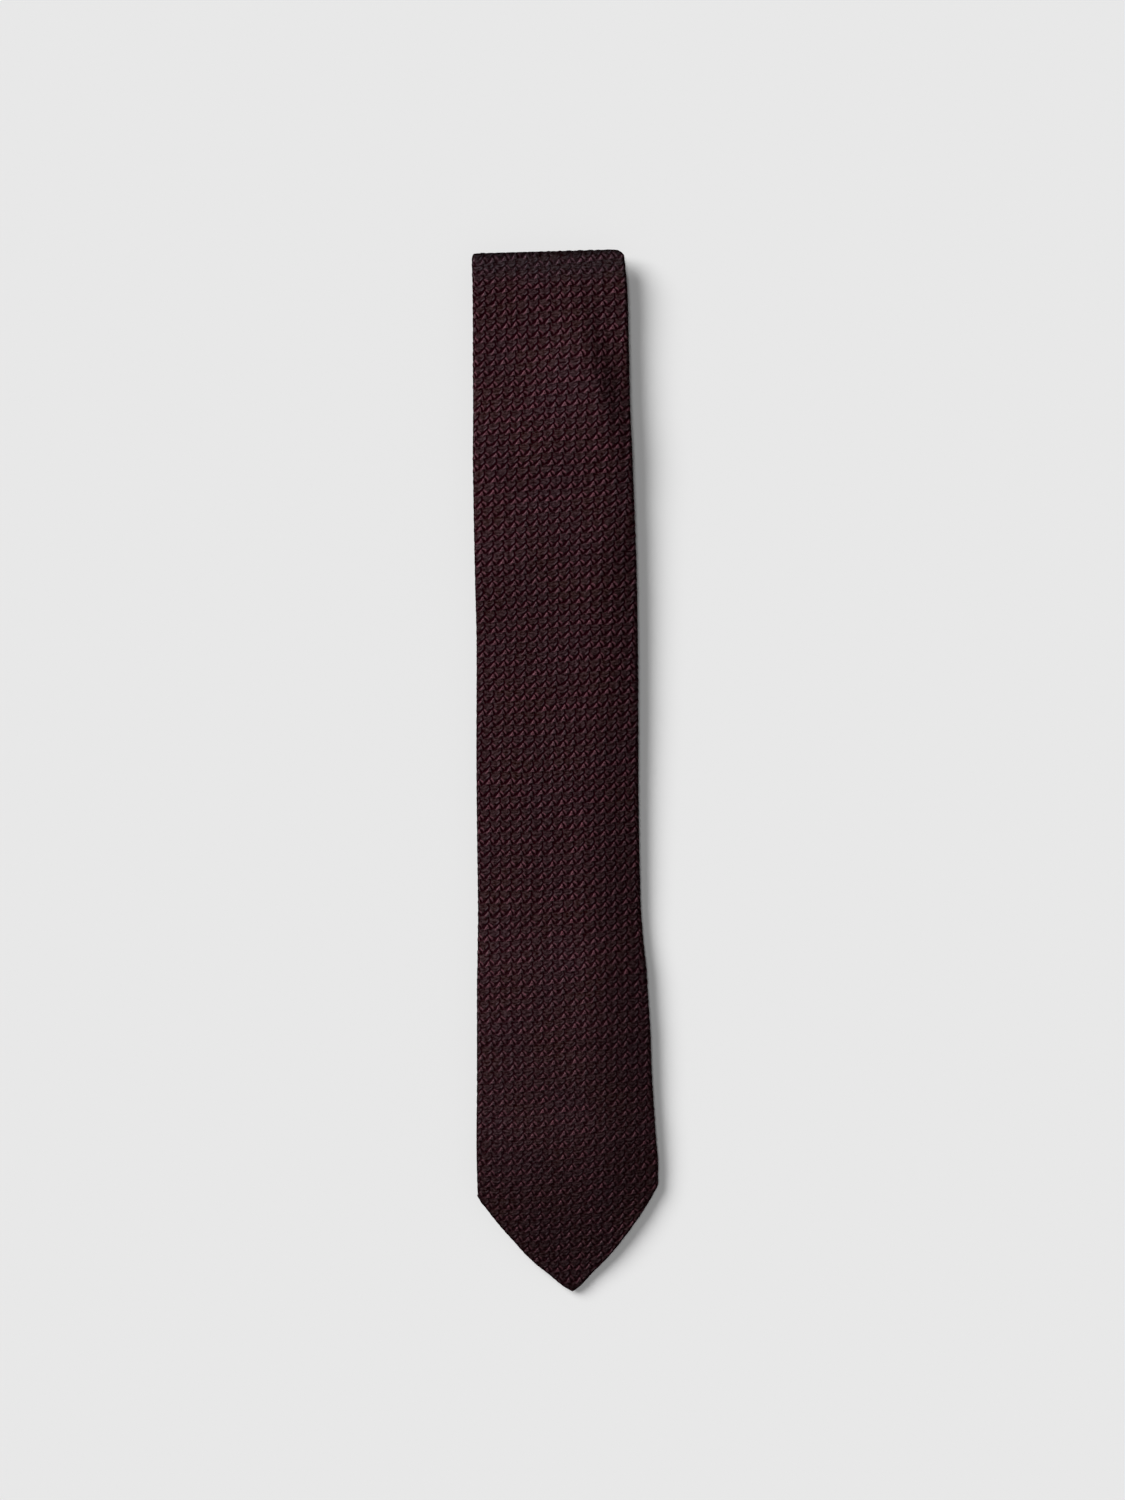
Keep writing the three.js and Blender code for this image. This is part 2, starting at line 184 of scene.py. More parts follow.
@dataclass(frozen=True)
class TieSizes:
    """The tie's sizes in millimetres: the frame's own, but for small changes that follow the photograph."""

    # The cloth's wall, the hollow inside a panel, the slit at its back, and the gaps at seams and layers
    wall: float = 1.05
    slot: float = 0.4
    back_slit: float = 0.4
    seam_gap: float = 0.3
    layer_gap: float = 0.6
    # The two points, the bulge of their sides, and how the visible tip reaches out and lies off the table
    blade: Point = Point(width=80, length=44, opening=100, hem=9, flat=0)
    tail: Point = Point(width=45, length=24, opening=62, hem=6, flat=1)
    point_bow: float = 0.4
    tip_reach: float = 1.2
    tip_ease: float = 9
    tip_lift: float = 1.8
    # How far the tail and the third layer are raised, so that their stitches stay above the table
    rest_tail: float = 0.1
    rest_third: float = 0.25
    # The stack: the apron, which is the visible length, the lower fold's place, the inner fold's distance
    # from the top, the tail's run, and how much and how far the folds puff up the gaps beside them
    apron: float = 461
    lower_fold: float = 58
    fold_step: float = 4
    tail_run: float = 146
    top_puff: float = 0.5
    low_puff: float = 0.4
    puff_length: float = 30
    # How the layers step down past the tail's end, and how far the apron bridges the step
    tail_ramp: float = 24
    step_share: float = 0.28
    step_length: float = 14
    bridge_length: float = 190
    # How the apron hangs below the lower fold, how its sides sink, and how its top fold is rounded
    hang_start: float = 8
    hang_bend: float = 0.85
    side_droop: float = 1.9
    fold_round_right: float = 3.9
    fold_round_left: float = 0.5
    fold_take_up: float = 12
    # The seams, the keeper loop and the bar tacks
    seam_below_top: float = 297
    seam_above_low: float = 128
    seam_ease: float = 90
    keeper_from_tip: float = 127
    keeper: Band = Band(across=48, band=12, thick=1)
    tack_past: float = 3
    tack: Band = Band(across=10, band=1.6, thick=0.7)

    @property
    def thick(self) -> float:
        """One whole layer of tie."""
        return 2 * self.wall + self.slot

    @property
    def outer(self) -> float:
        """From a layer's middle to the outer face of its wall."""
        return self.slot / 2 + self.wall

    @property
    def inner(self) -> float:
        """From a layer's middle to the inner face of its wall."""
        return self.slot / 2


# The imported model's origin on the drawn tie
ORIGIN = np.array((-1.1168, 230.7804, 0.0))

# The visible blade from its tip up: share of its length, then width and sideways lean as shares of 80 mm
APRON_ROWS = (
    (0, 1, 0.0305),
    (0.095, 1, 0),
    (0.142, 0.982, -0.016),
    (0.2, 0.957, -0.0258),
    (0.296, 0.936, -0.0361),
    (0.335, 0.911, -0.0445),
    (0.375, 0.895, -0.051),
    (0.508, 0.893, -0.0605),
    (0.624, 0.887, -0.0625),
    (0.682, 0.89, -0.0688),
    (0.798, 0.877, -0.0875),
    (0.85, 0.861, -0.0945),
    (0.971, 0.85, -0.1025),
    (1, 0.842, -0.107),
)

# The rest of the tie, from the top fold to the tail's corners: share of that length, and width in mm
BEHIND_ROWS = (
    (0, 67.36),
    (0.1, 59.2),
    (0.25, 46),
    (0.42, 37.4),
    (0.56, 34),
    (0.8, 38.25),
    (1, 45),
)

# How the apron's sides sink: share of its length, shares of the droop left and right, and the flat middle
DROOP_ROWS = (
    (0, 0, 0, 0.25),
    (0.1, 0.6, 1.7, 0.2),
    (0.2, 0.6, 1.8, 0.2),
    (0.33, 0.5, 1.7, 0.25),
    (0.41, 0.45, 1.4, 0.25),
    (0.49, 0.4, 1.1, 0.3),
    (0.56, 0.4, 0.95, 0.35),
    (0.64, 0.3, 0.95, 0.4),
    (0.69, 0.2, 1.1, 0.45),
    (0.75, 0.2, 0.6, 0.5),
    (0.8, 0.2, 0.3, 0.55),
    (0.88, 0.1, 0.1, 0.6),
    (1, 0, 0, 0.6),
)

# The soft ridge below the top fold, the swell above the tail's end, and the one near the point
SWELLS = (
    Swell(along=0.872, across=0.24, height=2.0, up=0.42, down=0.4, left=0.3, right=0.11, turn=15),
    Swell(along=0.71, across=-0.09, height=0.5, up=0.3, down=0.1, left=0.25, right=0.22, turn=0),
    Swell(along=0.165, across=0, height=1.5, up=0.9, down=0.5, left=1.1, right=1.1, turn=0),
)

# How far the cloth lies outside the plain width of the visible blade: share of its length, left, right
EDGE_ROWS = (
    (0, -0.7, -1.0),
    (0.006, 0, -1.4),
    (0.012, 1.6, -0.6),
    (0.024, 2.2, 0.8),
    (0.032, 1.5, 0.8),
    (0.04, 0.6, 0.35),
    (0.05, -0.6, 0),
    (0.07, -0.55, 0.1),
    (0.083, -0.35, 0.3),
    (0.09, 0.05, 0.5),
    (0.1, -0.35, 0.75),
    (0.123, -0.35, 1.65),
    (0.238, -0.35, 1.7),
    (0.296, -0.35, 1.1),
    (0.375, -0.35, 1.0),
    (0.471, -0.35, 0.8),
    (0.568, -0.35, 1.0),
    (0.664, -0.35, 0.95),
    (0.76, -0.35, 0.95),
    (0.857, -0.35, 1.2),
    (0.953, -0.35, 1.0),
    (1, 0, 0),
)


def columns(rows: Sequence[Sequence[float]]) -> list[SmoothTable]:
    """One smooth table for each column of rows after the first."""
    return [SmoothTable([(row[0], row[i]) for row in rows]) for i in range(1, len(rows[0]))]


@dataclass(frozen=True)
class Leg:
    """A straight run of the tie between two folds, and the fold after it."""

    from_y: float
    to_y: float
    height: Callable[[Array], Array]
    turn: float
    start: float

    @property
    def ahead(self) -> float:
        """1 where the tie runs towards the top fold, and -1 where it runs away from it."""
        return math.copysign(1, self.to_y - self.from_y)

    @property
    def end(self) -> float:
        """Where the fold after the leg begins, along the tie."""
        return self.start + abs(self.to_y - self.from_y)

    @property
    def folded(self) -> float:
        """Where that fold ends."""
        return self.end + math.pi * self.turn


class FoldedTie:
    """The tie's shape, from places on the straight tie to places in the folded stack."""

    def __init__(self, size: TieSizes) -> None:
        """Lays out the legs and folds.

        Args:
            size: The tie's sizes.
        """
        self.size = size
        self.apron_width, self.lean = columns(APRON_ROWS)
        (self.behind_width,) = columns(BEHIND_ROWS)
        self.sink_left, self.sink_right, self.shelf = columns(DROOP_ROWS)
        self.out_left, self.out_right = columns(EDGE_ROWS)
        thick = size.thick
        self.top_turn = (thick + size.layer_gap + size.top_puff) / 2
        self.low_turn = (thick + size.layer_gap + size.low_puff) / 2
        self.top_y = size.apron - self.top_turn - thick / 2
        self.low_y = size.lower_fold + self.low_turn + thick / 2
        self.inner_y = self.top_y - size.fold_step
        self.tail_end_y = size.apron - size.fold_step - size.tail_run
        self.tail_tack_y = self.tail_end_y + size.tail.opening + size.tack_past
        runs = (
            (0.0, self.top_y, self.apron_height, self.top_turn),
            (self.top_y, self.low_y, self.second_height, self.low_turn),
            (self.low_y, self.inner_y, self.third_height, self.top_turn),
            (self.inner_y, self.tail_end_y, self.tail_height, 0.0),
        )
        self.legs: list[Leg] = []
        start = 0.0
        for from_y, to_y, height, turn in runs:
            leg = Leg(from_y, to_y, height, turn, start)
            self.legs.append(leg)
            start = leg.folded
        self.length = start
        self.first_seam = self.legs[1].start + size.seam_below_top
        self.second_seam = self.legs[2].start + size.seam_above_low

    def gap_near(self, puff: float, distance: Array) -> Array:
        """The air between two layers, wider beside a fold."""
        return self.size.layer_gap + puff * plateau(distance, 2 * self.size.thick, self.size.puff_length)

    def room_for(self, piece: Band, distance: Array) -> Array:
        """How far a piece between two layers lifts the upper one."""
        lifted = max(0.0, 2 * self.size.seam_gap + piece.thick - self.size.layer_gap)
        return lifted * plateau(distance, piece.band, 2 * self.size.keeper.band)

    def tail_height(self, y: Array) -> Array:
        """Height of the middle of the lowest layer."""
        return np.full_like(y, self.size.thick / 2 + self.size.rest_tail)

    def third_height(self, y: Array) -> Array:
        """Height of the middle of the third layer from the top, which sinks past the tail's end.

        Args:
            y: Places along the stack.

        Returns:
            The heights there.
        """
        size = self.size
        on_tail = smoothstep(y, self.tail_end_y - size.tail_ramp, self.tail_end_y - size.thick / 2)
        over_tack = self.room_for(size.tack, y - self.tail_tack_y)
        gap = self.gap_near(size.top_puff, self.inner_y - y)
        raised = lerp(size.rest_third, size.rest_tail + size.thick + gap + over_tack, on_tail)
        return size.thick / 2 + raised

    def second_height(self, y: Array) -> Array:
        """Height of the middle of the layer below the apron."""
        return self.third_height(y) + self.size.thick + self.gap_near(self.size.low_puff, y - self.low_y)

    def bridge(self, y: Array) -> Array:
        """How far the apron stays up where the layers below it sink past the tail's end.

        Args:
            y: Places along the stack.

        Returns:
            Shares of one layer's height.
        """
        size = self.size
        past = self.tail_end_y - size.thick / 2 - y
        sunk = size.step_share * (1 - np.exp(-np.maximum(past, 0) / size.step_length))
        sunk = sunk + (1 - size.step_share) * smoothstep(past, 0, size.bridge_length)
        return smoothstep(past, 0, size.tail_ramp - size.thick / 2) - sunk

    def stacked_height(self, y: Array) -> Array:
        """Height of the middle of the apron where it lies on the stack.

        Args:
            y: Places along the stack.

        Returns:
            The heights there.
        """
        size = self.size
        over_keeper = self.room_for(size.keeper, y - size.keeper_from_tip)
        over_tack = self.room_for(size.tack, y - (size.blade.opening + size.tack_past))
        gap = self.gap_near(size.top_puff, self.top_y - y)
        bridged = self.bridge(y) * (size.thick + self.gap_near(size.top_puff, self.inner_y - y))
        return self.second_height(y) + size.thick + gap + np.maximum(over_keeper, over_tack) + bridged

    def apron_height(self, y: Array) -> Array:
        """Height of the apron's middle, which hangs from the lower fold down to its tip.

        Args:
            y: Places along the stack.

        Returns:
            The heights there.
        """
        edge = self.low_y + self.size.hang_start
        share = np.clip(y / edge, 0, 1)
        fall = lerp(share, np.sin(share * math.pi / 2), self.size.hang_bend)
        tip = self.size.thick / 2 + self.size.tip_lift
        hanging = lerp(tip, self.stacked_height(np.array(edge)), fall)
        return np.where(y >= edge, self.stacked_height(y), hanging)

    def path(self, s: Array) -> tuple[Array, Array, Array, Array]:
        """Follows the folded stack, seen from the side.

        Args:
            s: Places along the tie.

        Returns:
            The leg's number, y, height of the layer's middle, and how far round a fold, for each place.
        """
        s = np.asarray(s, float)
        y, z, rounded = (np.zeros_like(s) for _ in range(3))
        number = np.zeros(s.shape, int)
        begins = -math.inf
        for i, leg in enumerate(self.legs):
            ends = leg.folded if leg.turn else math.inf
            here = (s > begins) & (s <= ends)
            flat = here & ((s <= leg.end) | (leg.turn == 0))
            y[flat] = leg.from_y + leg.ahead * (s[flat] - leg.start)
            z[flat] = leg.height(y[flat])
            bent = here & ~flat
            if bent.any():
                angle = (s[bent] - leg.end) / leg.turn
                y[bent] = leg.to_y + leg.ahead * leg.turn * np.sin(angle)
                z[bent] = leg.height(np.array(leg.to_y)) + leg.turn * (np.cos(angle) - 1)
                rounded[bent] = 1 - np.abs(np.cos(angle))
            number[here] = i
            begins = ends
        y = y - self.size.tip_reach * (1 - smoothstep(s, 0, self.size.tip_ease))
        return number, y, z, rounded

    def half_width(self, s: Array, side: Array) -> Array:
        """Half the tie's width.

        Args:
            s: Places along the tie.
            side: -1 on the left and 1 on the right of the visible face.

        Returns:
            The half widths there.
        """
        size = self.size
        s = np.asarray(s, float)
        behind = (s - size.apron) / (self.length - size.tail.length - size.apron)
        apron = size.blade.width / 2 * self.apron_width(s / size.apron)
        full = np.where(s < size.apron, apron, self.behind_width(behind) / 2)
        from_tail = self.length - s
        number, _, _, rounded = self.path(s)
        corner = np.where(np.asarray(side) > 0, size.fold_round_right, size.fold_round_left)
        share = s / size.apron
        out = np.where(np.asarray(side) > 0, self.out_right(share), self.out_left(share))
        full = full + np.where(number == 0, out, 0)
        width = np.where(number == 0, full - corner * rounded, full)
        for point, distance in ((size.blade, s), (size.tail, from_tail)):
            pointed = point.half_width(distance, full, size.thick / 2 + point.flat, size.point_bow)
            width = np.where(distance < point.length, pointed, width)
        return width

    def flap_edge(self, s: Array, side: Array) -> Array:
        """Follows the end of the flap at the back, along the slit and a point's hem.

        Args:
            s: Places along the tie.
            side: -1 on the left and 1 on the right of the visible face.

        Returns:
            How far from the tie's middle it lies there.
        """
        shut = self.size.back_slit / 2
        s = np.asarray(s, float)
        edges = []
        for end, distance in ((self.size.blade, s), (self.size.tail, self.length - s)):
            slanted = end.hem * math.hypot(1, end.width / 2 / end.length)
            opened = np.maximum(shut, self.half_width(s, side) - slanted)
            closing = np.clip((distance - end.length) / (end.opening - end.length), 0, 1)
            edges.append(lerp(opened, shut, closing))
        return np.where(s < self.length / 2, edges[0], edges[1])

    def bend(self, along: Array, full: Array, out: Array) -> Array:
        """How far the apron's side has bent down.

        Args:
            along: Share of the apron's length.
            full: Half the apron's width there.
            out: How far from its middle.

        Returns:
            0 on the flat middle, and 1 at the edge.
        """
        shelf = self.shelf(along) * full
        share = np.maximum(0, (out - shelf) / (full - shelf))
        return share * share * (3 - np.minimum(share, 1)) / 2

    def droop(self, y: Array, u: Array) -> Array:
        """Sinks the sides of the apron, from the level where it leaves the narrower layer below it.

        Args:
            y: Places along the stack.
            u: Places across the apron.

        Returns:
            What this adds to the apron's height.
        """
        size = self.size
        along = y / size.apron
        on_blade = np.maximum(y, size.blade.length)
        below = self.legs[1].start + self.top_y - np.maximum(y, self.low_y)
        held, here = [], []
        for side, sink in ((-1, self.sink_left), (1, self.sink_right)):
            full = self.half_width(on_blade, side)
            sunk = sink(along)
            held.append(sunk * self.bend(along, full, np.minimum(self.half_width(below, side), full)))
            here.append(sunk * self.bend(along, full, np.abs(u)))
        return size.side_droop * (np.maximum(*held) - np.where(u < 0, here[0], here[1]))

    def relief(self, y: Array, u: Array) -> Array:
        """Adds up the apron's sinking sides and its swells, which end at the top fold.

        Args:
            y: Places along the stack.
            u: Places across the apron.

        Returns:
            What they add to the apron's height.
        """
        size = self.size
        height = self.droop(y, u)
        for swell in SWELLS:
            turn = math.radians(swell.turn)
            dy = y - swell.along * size.apron
            dx = u - swell.across * size.blade.width
            uphill = dy * math.cos(turn) - dx * math.sin(turn)
            sideways = dx * math.cos(turn) + dy * math.sin(turn)
            long = uphill / size.blade.width / np.where(uphill > 0, swell.up, swell.down)
            wide = sideways / size.blade.width / np.where(sideways > 0, swell.right, swell.left)
            height = height + swell.height * np.exp(-long * long - wide * wide)
        return height * smoothstep(self.top_y - y, 0, size.fold_take_up)

    def lean_at(self, y: Array) -> Array:
        """The sideways place of the tie's middle."""
        return self.size.blade.width * self.lean(y / self.size.apron)

    def middle(self, s: Array, u: Array) -> Array:
        """Lays a layer's middle surface, with the tie's lean and slight curve in plan.

        Args:
            s: Places along the tie.
            u: Places across it.

        Returns:
            The points of the surface.
        """
        near = 1
        _, y, z, _ = self.path(s)
        angle = np.arctan((self.lean_at(y - near) - self.lean_at(y + near)) / (2 * near))
        lift = np.where(s < self.top_y, self.relief(y, u), 0)
        return np.stack([self.lean_at(y) + u * np.cos(angle), y + u * np.sin(angle), z + lift], -1)

    def normal(self, s: Array, u: Array) -> Array:
        """Finds the way that a layer's middle surface faces, on the side of the silk's face.

        Args:
            s: Places along the tie.
            u: Places across it.

        Returns:
            The unit normals.
        """
        near = 0.02
        across = self.middle(s, u + near) - self.middle(s, u - near)
        ahead = self.middle(s + near, u) - self.middle(s - near, u)
        normal = np.cross(across, ahead)
        return normal / np.linalg.norm(normal, axis=-1, keepdims=True)

    def place(self, s: Array, u: Array, n: Array) -> Array:
        """Points that lie n off a layer's middle surface, towards the silk's face where n is positive."""
        s, u, n = np.broadcast_arrays(*(np.asarray(x, float) for x in (s, u, n)))
        return self.middle(s, u) + self.normal(s, u) * n[..., None]


class Yarn(Enum):
    """The parts of one repeat of the gauze weave."""

    HOOD = "hood"
    WING = "wing"
    FLOAT = "float"
    SHADED_GAP = "gap"
    SHADED_NOTCH = "shaded_notch"
    KNOT = "knot"


@dataclass(frozen=True)
class Stroke:
    """One short straight part of the repeat, in millimetres from its knot, x to the right and y up."""

    yarn: Yarn
    start: tuple[float, float]
    end: tuple[float, float]
    half_width: float

    @property
    def centre(self) -> tuple[float, float]:
        """The stroke's middle."""
        return ((self.start[0] + self.end[0]) / 2, (self.start[1] + self.end[1]) / 2)

    @property
    def half_length(self) -> float:
        """Half the distance between its ends."""
        return math.dist(self.start, self.end) / 2

    @property
    def direction(self) -> tuple[float, float]:
        """The unit direction from its start to its end."""
        full = 2 * self.half_length
        return ((self.end[0] - self.start[0]) / full, (self.end[1] - self.start[1]) / full)


# Large gauze weave: a raised knot of twisted warp in each cell, and a slanting gap below it
STROKES = (
    Stroke(Yarn.HOOD, (0.85, 1.65), (1.5, 1.2), 0.44),
    Stroke(Yarn.HOOD, (1.5, 1.2), (2.0, 0.45), 0.47),
    Stroke(Yarn.HOOD, (2.0, 0.45), (2.3, -0.4), 0.44),
    Stroke(Yarn.WING, (-0.45, 0.2), (-1.4, -1.0), 0.46),
    # A raised float yarn beside the gap, lighter partly as a painted highlight on the gap's edge
    Stroke(Yarn.FLOAT, (-0.15, -2.4), (-1.05, -3.4), 0.45),
    # The slanting gap: dark silk deep in the weave, darkened further as painted shade
    Stroke(Yarn.SHADED_GAP, (0.15, -1.1), (0.4, -1.9), 0.42),
    Stroke(Yarn.SHADED_GAP, (0.4, -1.9), (0.45, -2.7), 0.56),
    Stroke(Yarn.SHADED_GAP, (0.45, -2.7), (0.0, -3.4), 0.62),
    Stroke(Yarn.SHADED_GAP, (0.0, -3.4), (-1.0, -4.3), 0.82),
    Stroke(Yarn.SHADED_GAP, (-1.0, -4.3), (-1.95, -5.15), 0.92),
    Stroke(Yarn.SHADED_GAP, (-1.95, -5.15), (-2.55, -5.6), 0.6),
    # The notch right of the knot: a shallow groove, darkened as the knot's painted shadow
    Stroke(Yarn.SHADED_NOTCH, (0.7, 0.95), (1.15, 0.1), 0.46),
    Stroke(Yarn.SHADED_NOTCH, (1.15, 0.1), (1.45, -0.65), 0.68),
    Stroke(Yarn.KNOT, (0.0, 1.0), (-0.55, -0.4), 0.45),
    Stroke(Yarn.KNOT, (0.05, 0.95), (0.55, -0.3), 0.46),
    Stroke(Yarn.KNOT, (-0.35, -0.3), (0.4, -0.3), 0.4),
)


@dataclass(frozen=True)
class YarnLook:
    """How a part of the repeat looks: its relief in millimetres, its colour and how much of that shows."""

    relief: float
    colour: str
    show: float


YARN_LOOKS = {
    Yarn.HOOD: YarnLook(relief=0.06, colour="#4e3037", show=1.0),
    Yarn.WING: YarnLook(relief=0.05, colour="#4c3138", show=0.85),
    # The float's pale grey colour: partly its yarn, partly a painted highlight on the gap's edge
    Yarn.FLOAT: YarnLook(relief=0.06, colour="#48393e", show=0.95),
    # Near-black gap: dark silk deep in the weave, with painted shade
    Yarn.SHADED_GAP: YarnLook(relief=-0.1, colour="#160105", show=1.0),
    # Near-black notch: partly its shallow groove, partly the knot's painted shadow
    Yarn.SHADED_NOTCH: YarnLook(relief=-0.1, colour="#150104", show=1.0),
    Yarn.KNOT: YarnLook(relief=0.12, colour="#433438", show=1.0),
}

# How the repeat runs on the visible blade, from its tip up: share of the blade's length, the rows' rise to
# the right in degrees, how much that grows over 100 mm to the right, how far the columns lean to the right
# going down in degrees, and the cell's width and height in millimetres
WEAVE_ROWS = (
    (0.05, 3.8, 20, -1.2, 4.7, 4.93),
    (0.11, 3.4, 18, -1.9, 4.57, 5.06),
    (0.168, 4.3, 11.5, -1.5, 4.54, 5.24),
    (0.226, 4.6, 7, 0, 4.58, 5.2),
    (0.284, 4.4, 6.3, 0.4, 4.7, 5.18),
    (0.341, 4.2, 9.5, 0.9, 4.7, 5.22),
    (0.399, 4.2, 12, 0.9, 4.62, 5.28),
    (0.457, 4, 10.8, -0.3, 4.57, 5.28),
    (0.515, 4, 7, -2.2, 4.57, 5.28),
    (0.573, 4, 3, -3, 4.6, 5.26),
    (0.63, 4.4, 0, -1.8, 4.67, 5.18),
    (0.688, 4.6, 1.8, -0.3, 4.82, 5.09),
    (0.746, 4.1, 1.4, -2.2, 4.9, 5.15),
    (0.804, 3.2, 0.7, -3.2, 4.9, 5.17),
    (0.861, 3.6, 2, -4, 4.75, 5.22),
    (0.919, 5, -4, -2.4, 4.72, 5.4),
    (0.977, 5.2, -10.8, 1.5, 4.8, 4.85),
)


class Unevenness:
    """Smooth seeded unevenness on the weave's lattice, the same on every run."""

    def __init__(self, seed: int, size: int = 64) -> None:
        """Draws the lattice's values.

        Args:
            seed: The seed.
            size: How many cells pass before it comes round again.
        """
        self.size = size
        self.values = np.random.default_rng(seed).uniform(-1, 1, (size, size, 2))

    def __call__(self, cells: Array) -> Array:
        """Reads the unevenness.

        Args:
            cells: Places on the lattice.

        Returns:
            Two values from -1 to 1 for each.
        """
        whole = np.floor(cells).astype(int)
        share = smoothstep(cells - whole, 0, 1)
        x, y = share[..., :1], share[..., 1:]
        i, j = whole[..., 0] % self.size, whole[..., 1] % self.size
        right, up = (i + 1) % self.size, (j + 1) % self.size
        low = lerp(self.values[i, j], self.values[right, j], x)
        high = lerp(self.values[i, up], self.values[right, up], x)
        return lerp(low, high, y)


class GauzeWeave:
    """The weave's lattice on the cloth, and the relief of one repeat.

    A stroke is whole over the core share of its half width. The uneven parts are how finely the cells are
    moved, and how far, in cells.
    """

    cell = (4.65, 5.2)
    core = 0.3
    soft = 0.25
    uneven_parts = ((1.0, 0.08), (0.3, 0.1), (2.3, 0.035))

    def __init__(self, tie: FoldedTie) -> None:
        """Adds up the lattice's lean and height along the tie.

        Args:
            tie: The tie that the weave lies on.
        """
        self.tie = tie
        self.uneven = [Unevenness(seed) for seed in range(len(self.uneven_parts))]
        self.rise, self.fan, lean, self.width, height = columns(WEAVE_ROWS)
        margin, step = 40.0, 1.0
        self.along = np.arange(-margin, tie.length + margin, step)
        share = self.along / tie.size.apron
        slip = np.where(share < 1, -np.tan(np.radians(lean(share))), 0.0)
        self.shift = np.concatenate([[0], np.cumsum((slip[1:] + slip[:-1]) / 2)])
        rows = 1 / height(share)
        self.row = np.concatenate([[0], np.cumsum((rows[1:] + rows[:-1]) / 2)])

    def lattice(self, s: Array, w: Array) -> Array:
        """Cell coordinates of points of the cloth.

        Args:
            s: Places along the tie.
            w: Places across the unfolded cloth, from the middle of the face.

        Returns:
            The column and row of each point, whole numbers at the knots.
        """
        share = s / self.tie.size.apron
        x = self.tie.lean_at(np.minimum(s, self.tie.size.apron)) + w
        shift = np.interp(s, self.along, self.shift)
        column = (x - shift) / self.width(share)
        tilt = np.tan(np.radians(self.rise(share)))
        fan = np.radians(self.fan(share)) / 100
        half = self.tie.size.blade.width / 2
        bent = np.clip(w, -half, half)
        drop = tilt * w + fan * bent * bent / 2 + fan * bent * (w - bent)
        cells = np.stack([column, np.interp(s - drop, self.along, self.row)], -1)
        parts = zip(self.uneven_parts, self.uneven)
        return cells + sum(amount * uneven(cells * scale) for (scale, amount), uneven in parts)

    def mask(self, stroke: Stroke, cells: Array) -> Array:
        """How much of a stroke lies at each point, a little softened for the relief.

        Args:
            stroke: The stroke.
            cells: Cell coordinates.

        Returns:
            0 outside the stroke, and up to 1 on its middle line.
        """
        cell = np.array(self.cell)
        away = cells * cell - np.array(stroke.centre)
        away = away - np.round(away / cell) * cell
        direction = np.array(stroke.direction)
        along = np.clip(away @ direction, -stroke.half_length, stroke.half_length)
        distance = np.linalg.norm(away - along[..., None] * direction, axis=-1)
        reach = stroke.half_width + self.soft
        return smoothstep(1 - distance / reach, 0, 1 - self.core)

    def relief(self, cells: Array) -> Array:
        """How far the repeat stands above the cloth's even face.

        Args:
            cells: Cell coordinates.

        Returns:
            Heights in millimetres.
        """
        height = np.zeros(cells.shape[:-1])
        for yarn in Yarn:
            masks = [self.mask(stroke, cells) for stroke in STROKES if stroke.yarn is yarn]
            height = height + YARN_LOOKS[yarn].relief * np.maximum.reduce(masks)
        return height


def to_linear(colour: str) -> tuple[float, float, float, float]:
    """Turns a colour linear.

    Args:
        colour: The colour as sRGB hex.

    Returns:
        The linear colour, with alpha 1.
    """
    parts = [int(colour[i : i + 2], 16) / 255 for i in (1, 3, 5)]
    red, green, blue = (c / 12.92 if c <= 0.04045 else ((c + 0.055) / 1.055) ** 2.4 for c in parts)
    return (red, green, blue, 1.0)


def add_node(
    tree: bpy.types.NodeTree, kind: str, inputs: dict[int | str, object] | None = None, **settings: object
) -> bpy.types.Node:
    """Adds one node with its settings and links.

    Args:
        tree: The tree it goes in.
        kind: Blender's name of the node type.
        inputs: For an input's name or number, its value or what feeds it: a socket, or a node, which then
            gives its first output in use.
        settings: The node's own settings.

    Returns:
        The new node.
    """
    node = tree.nodes.new(kind)
    for name, value in settings.items():
        setattr(node, name, value)
    for key, value in (inputs or {}).items():
        if isinstance(value, bpy.types.Node):
            value = next(socket for socket in value.outputs if socket.enabled)
        if isinstance(value, bpy.types.NodeSocket):
            tree.links.new(value, node.inputs[key])
        else:
            node.inputs[key].default_value = value
    return node


def new_material(name: str) -> bpy.types.Material:
    """Makes a material with an empty node tree.

    Args:
        name: Its name.

    Returns:
        The material.
    """
    material = bpy.data.materials.new(name)
    material.use_nodes = True
    material.node_tree.nodes.clear()
    return material


def bands_scale(spacing: float) -> float:
    """The scale at which a wave texture's bands lie this far apart."""
    return 2 * math.pi / spacing / 20


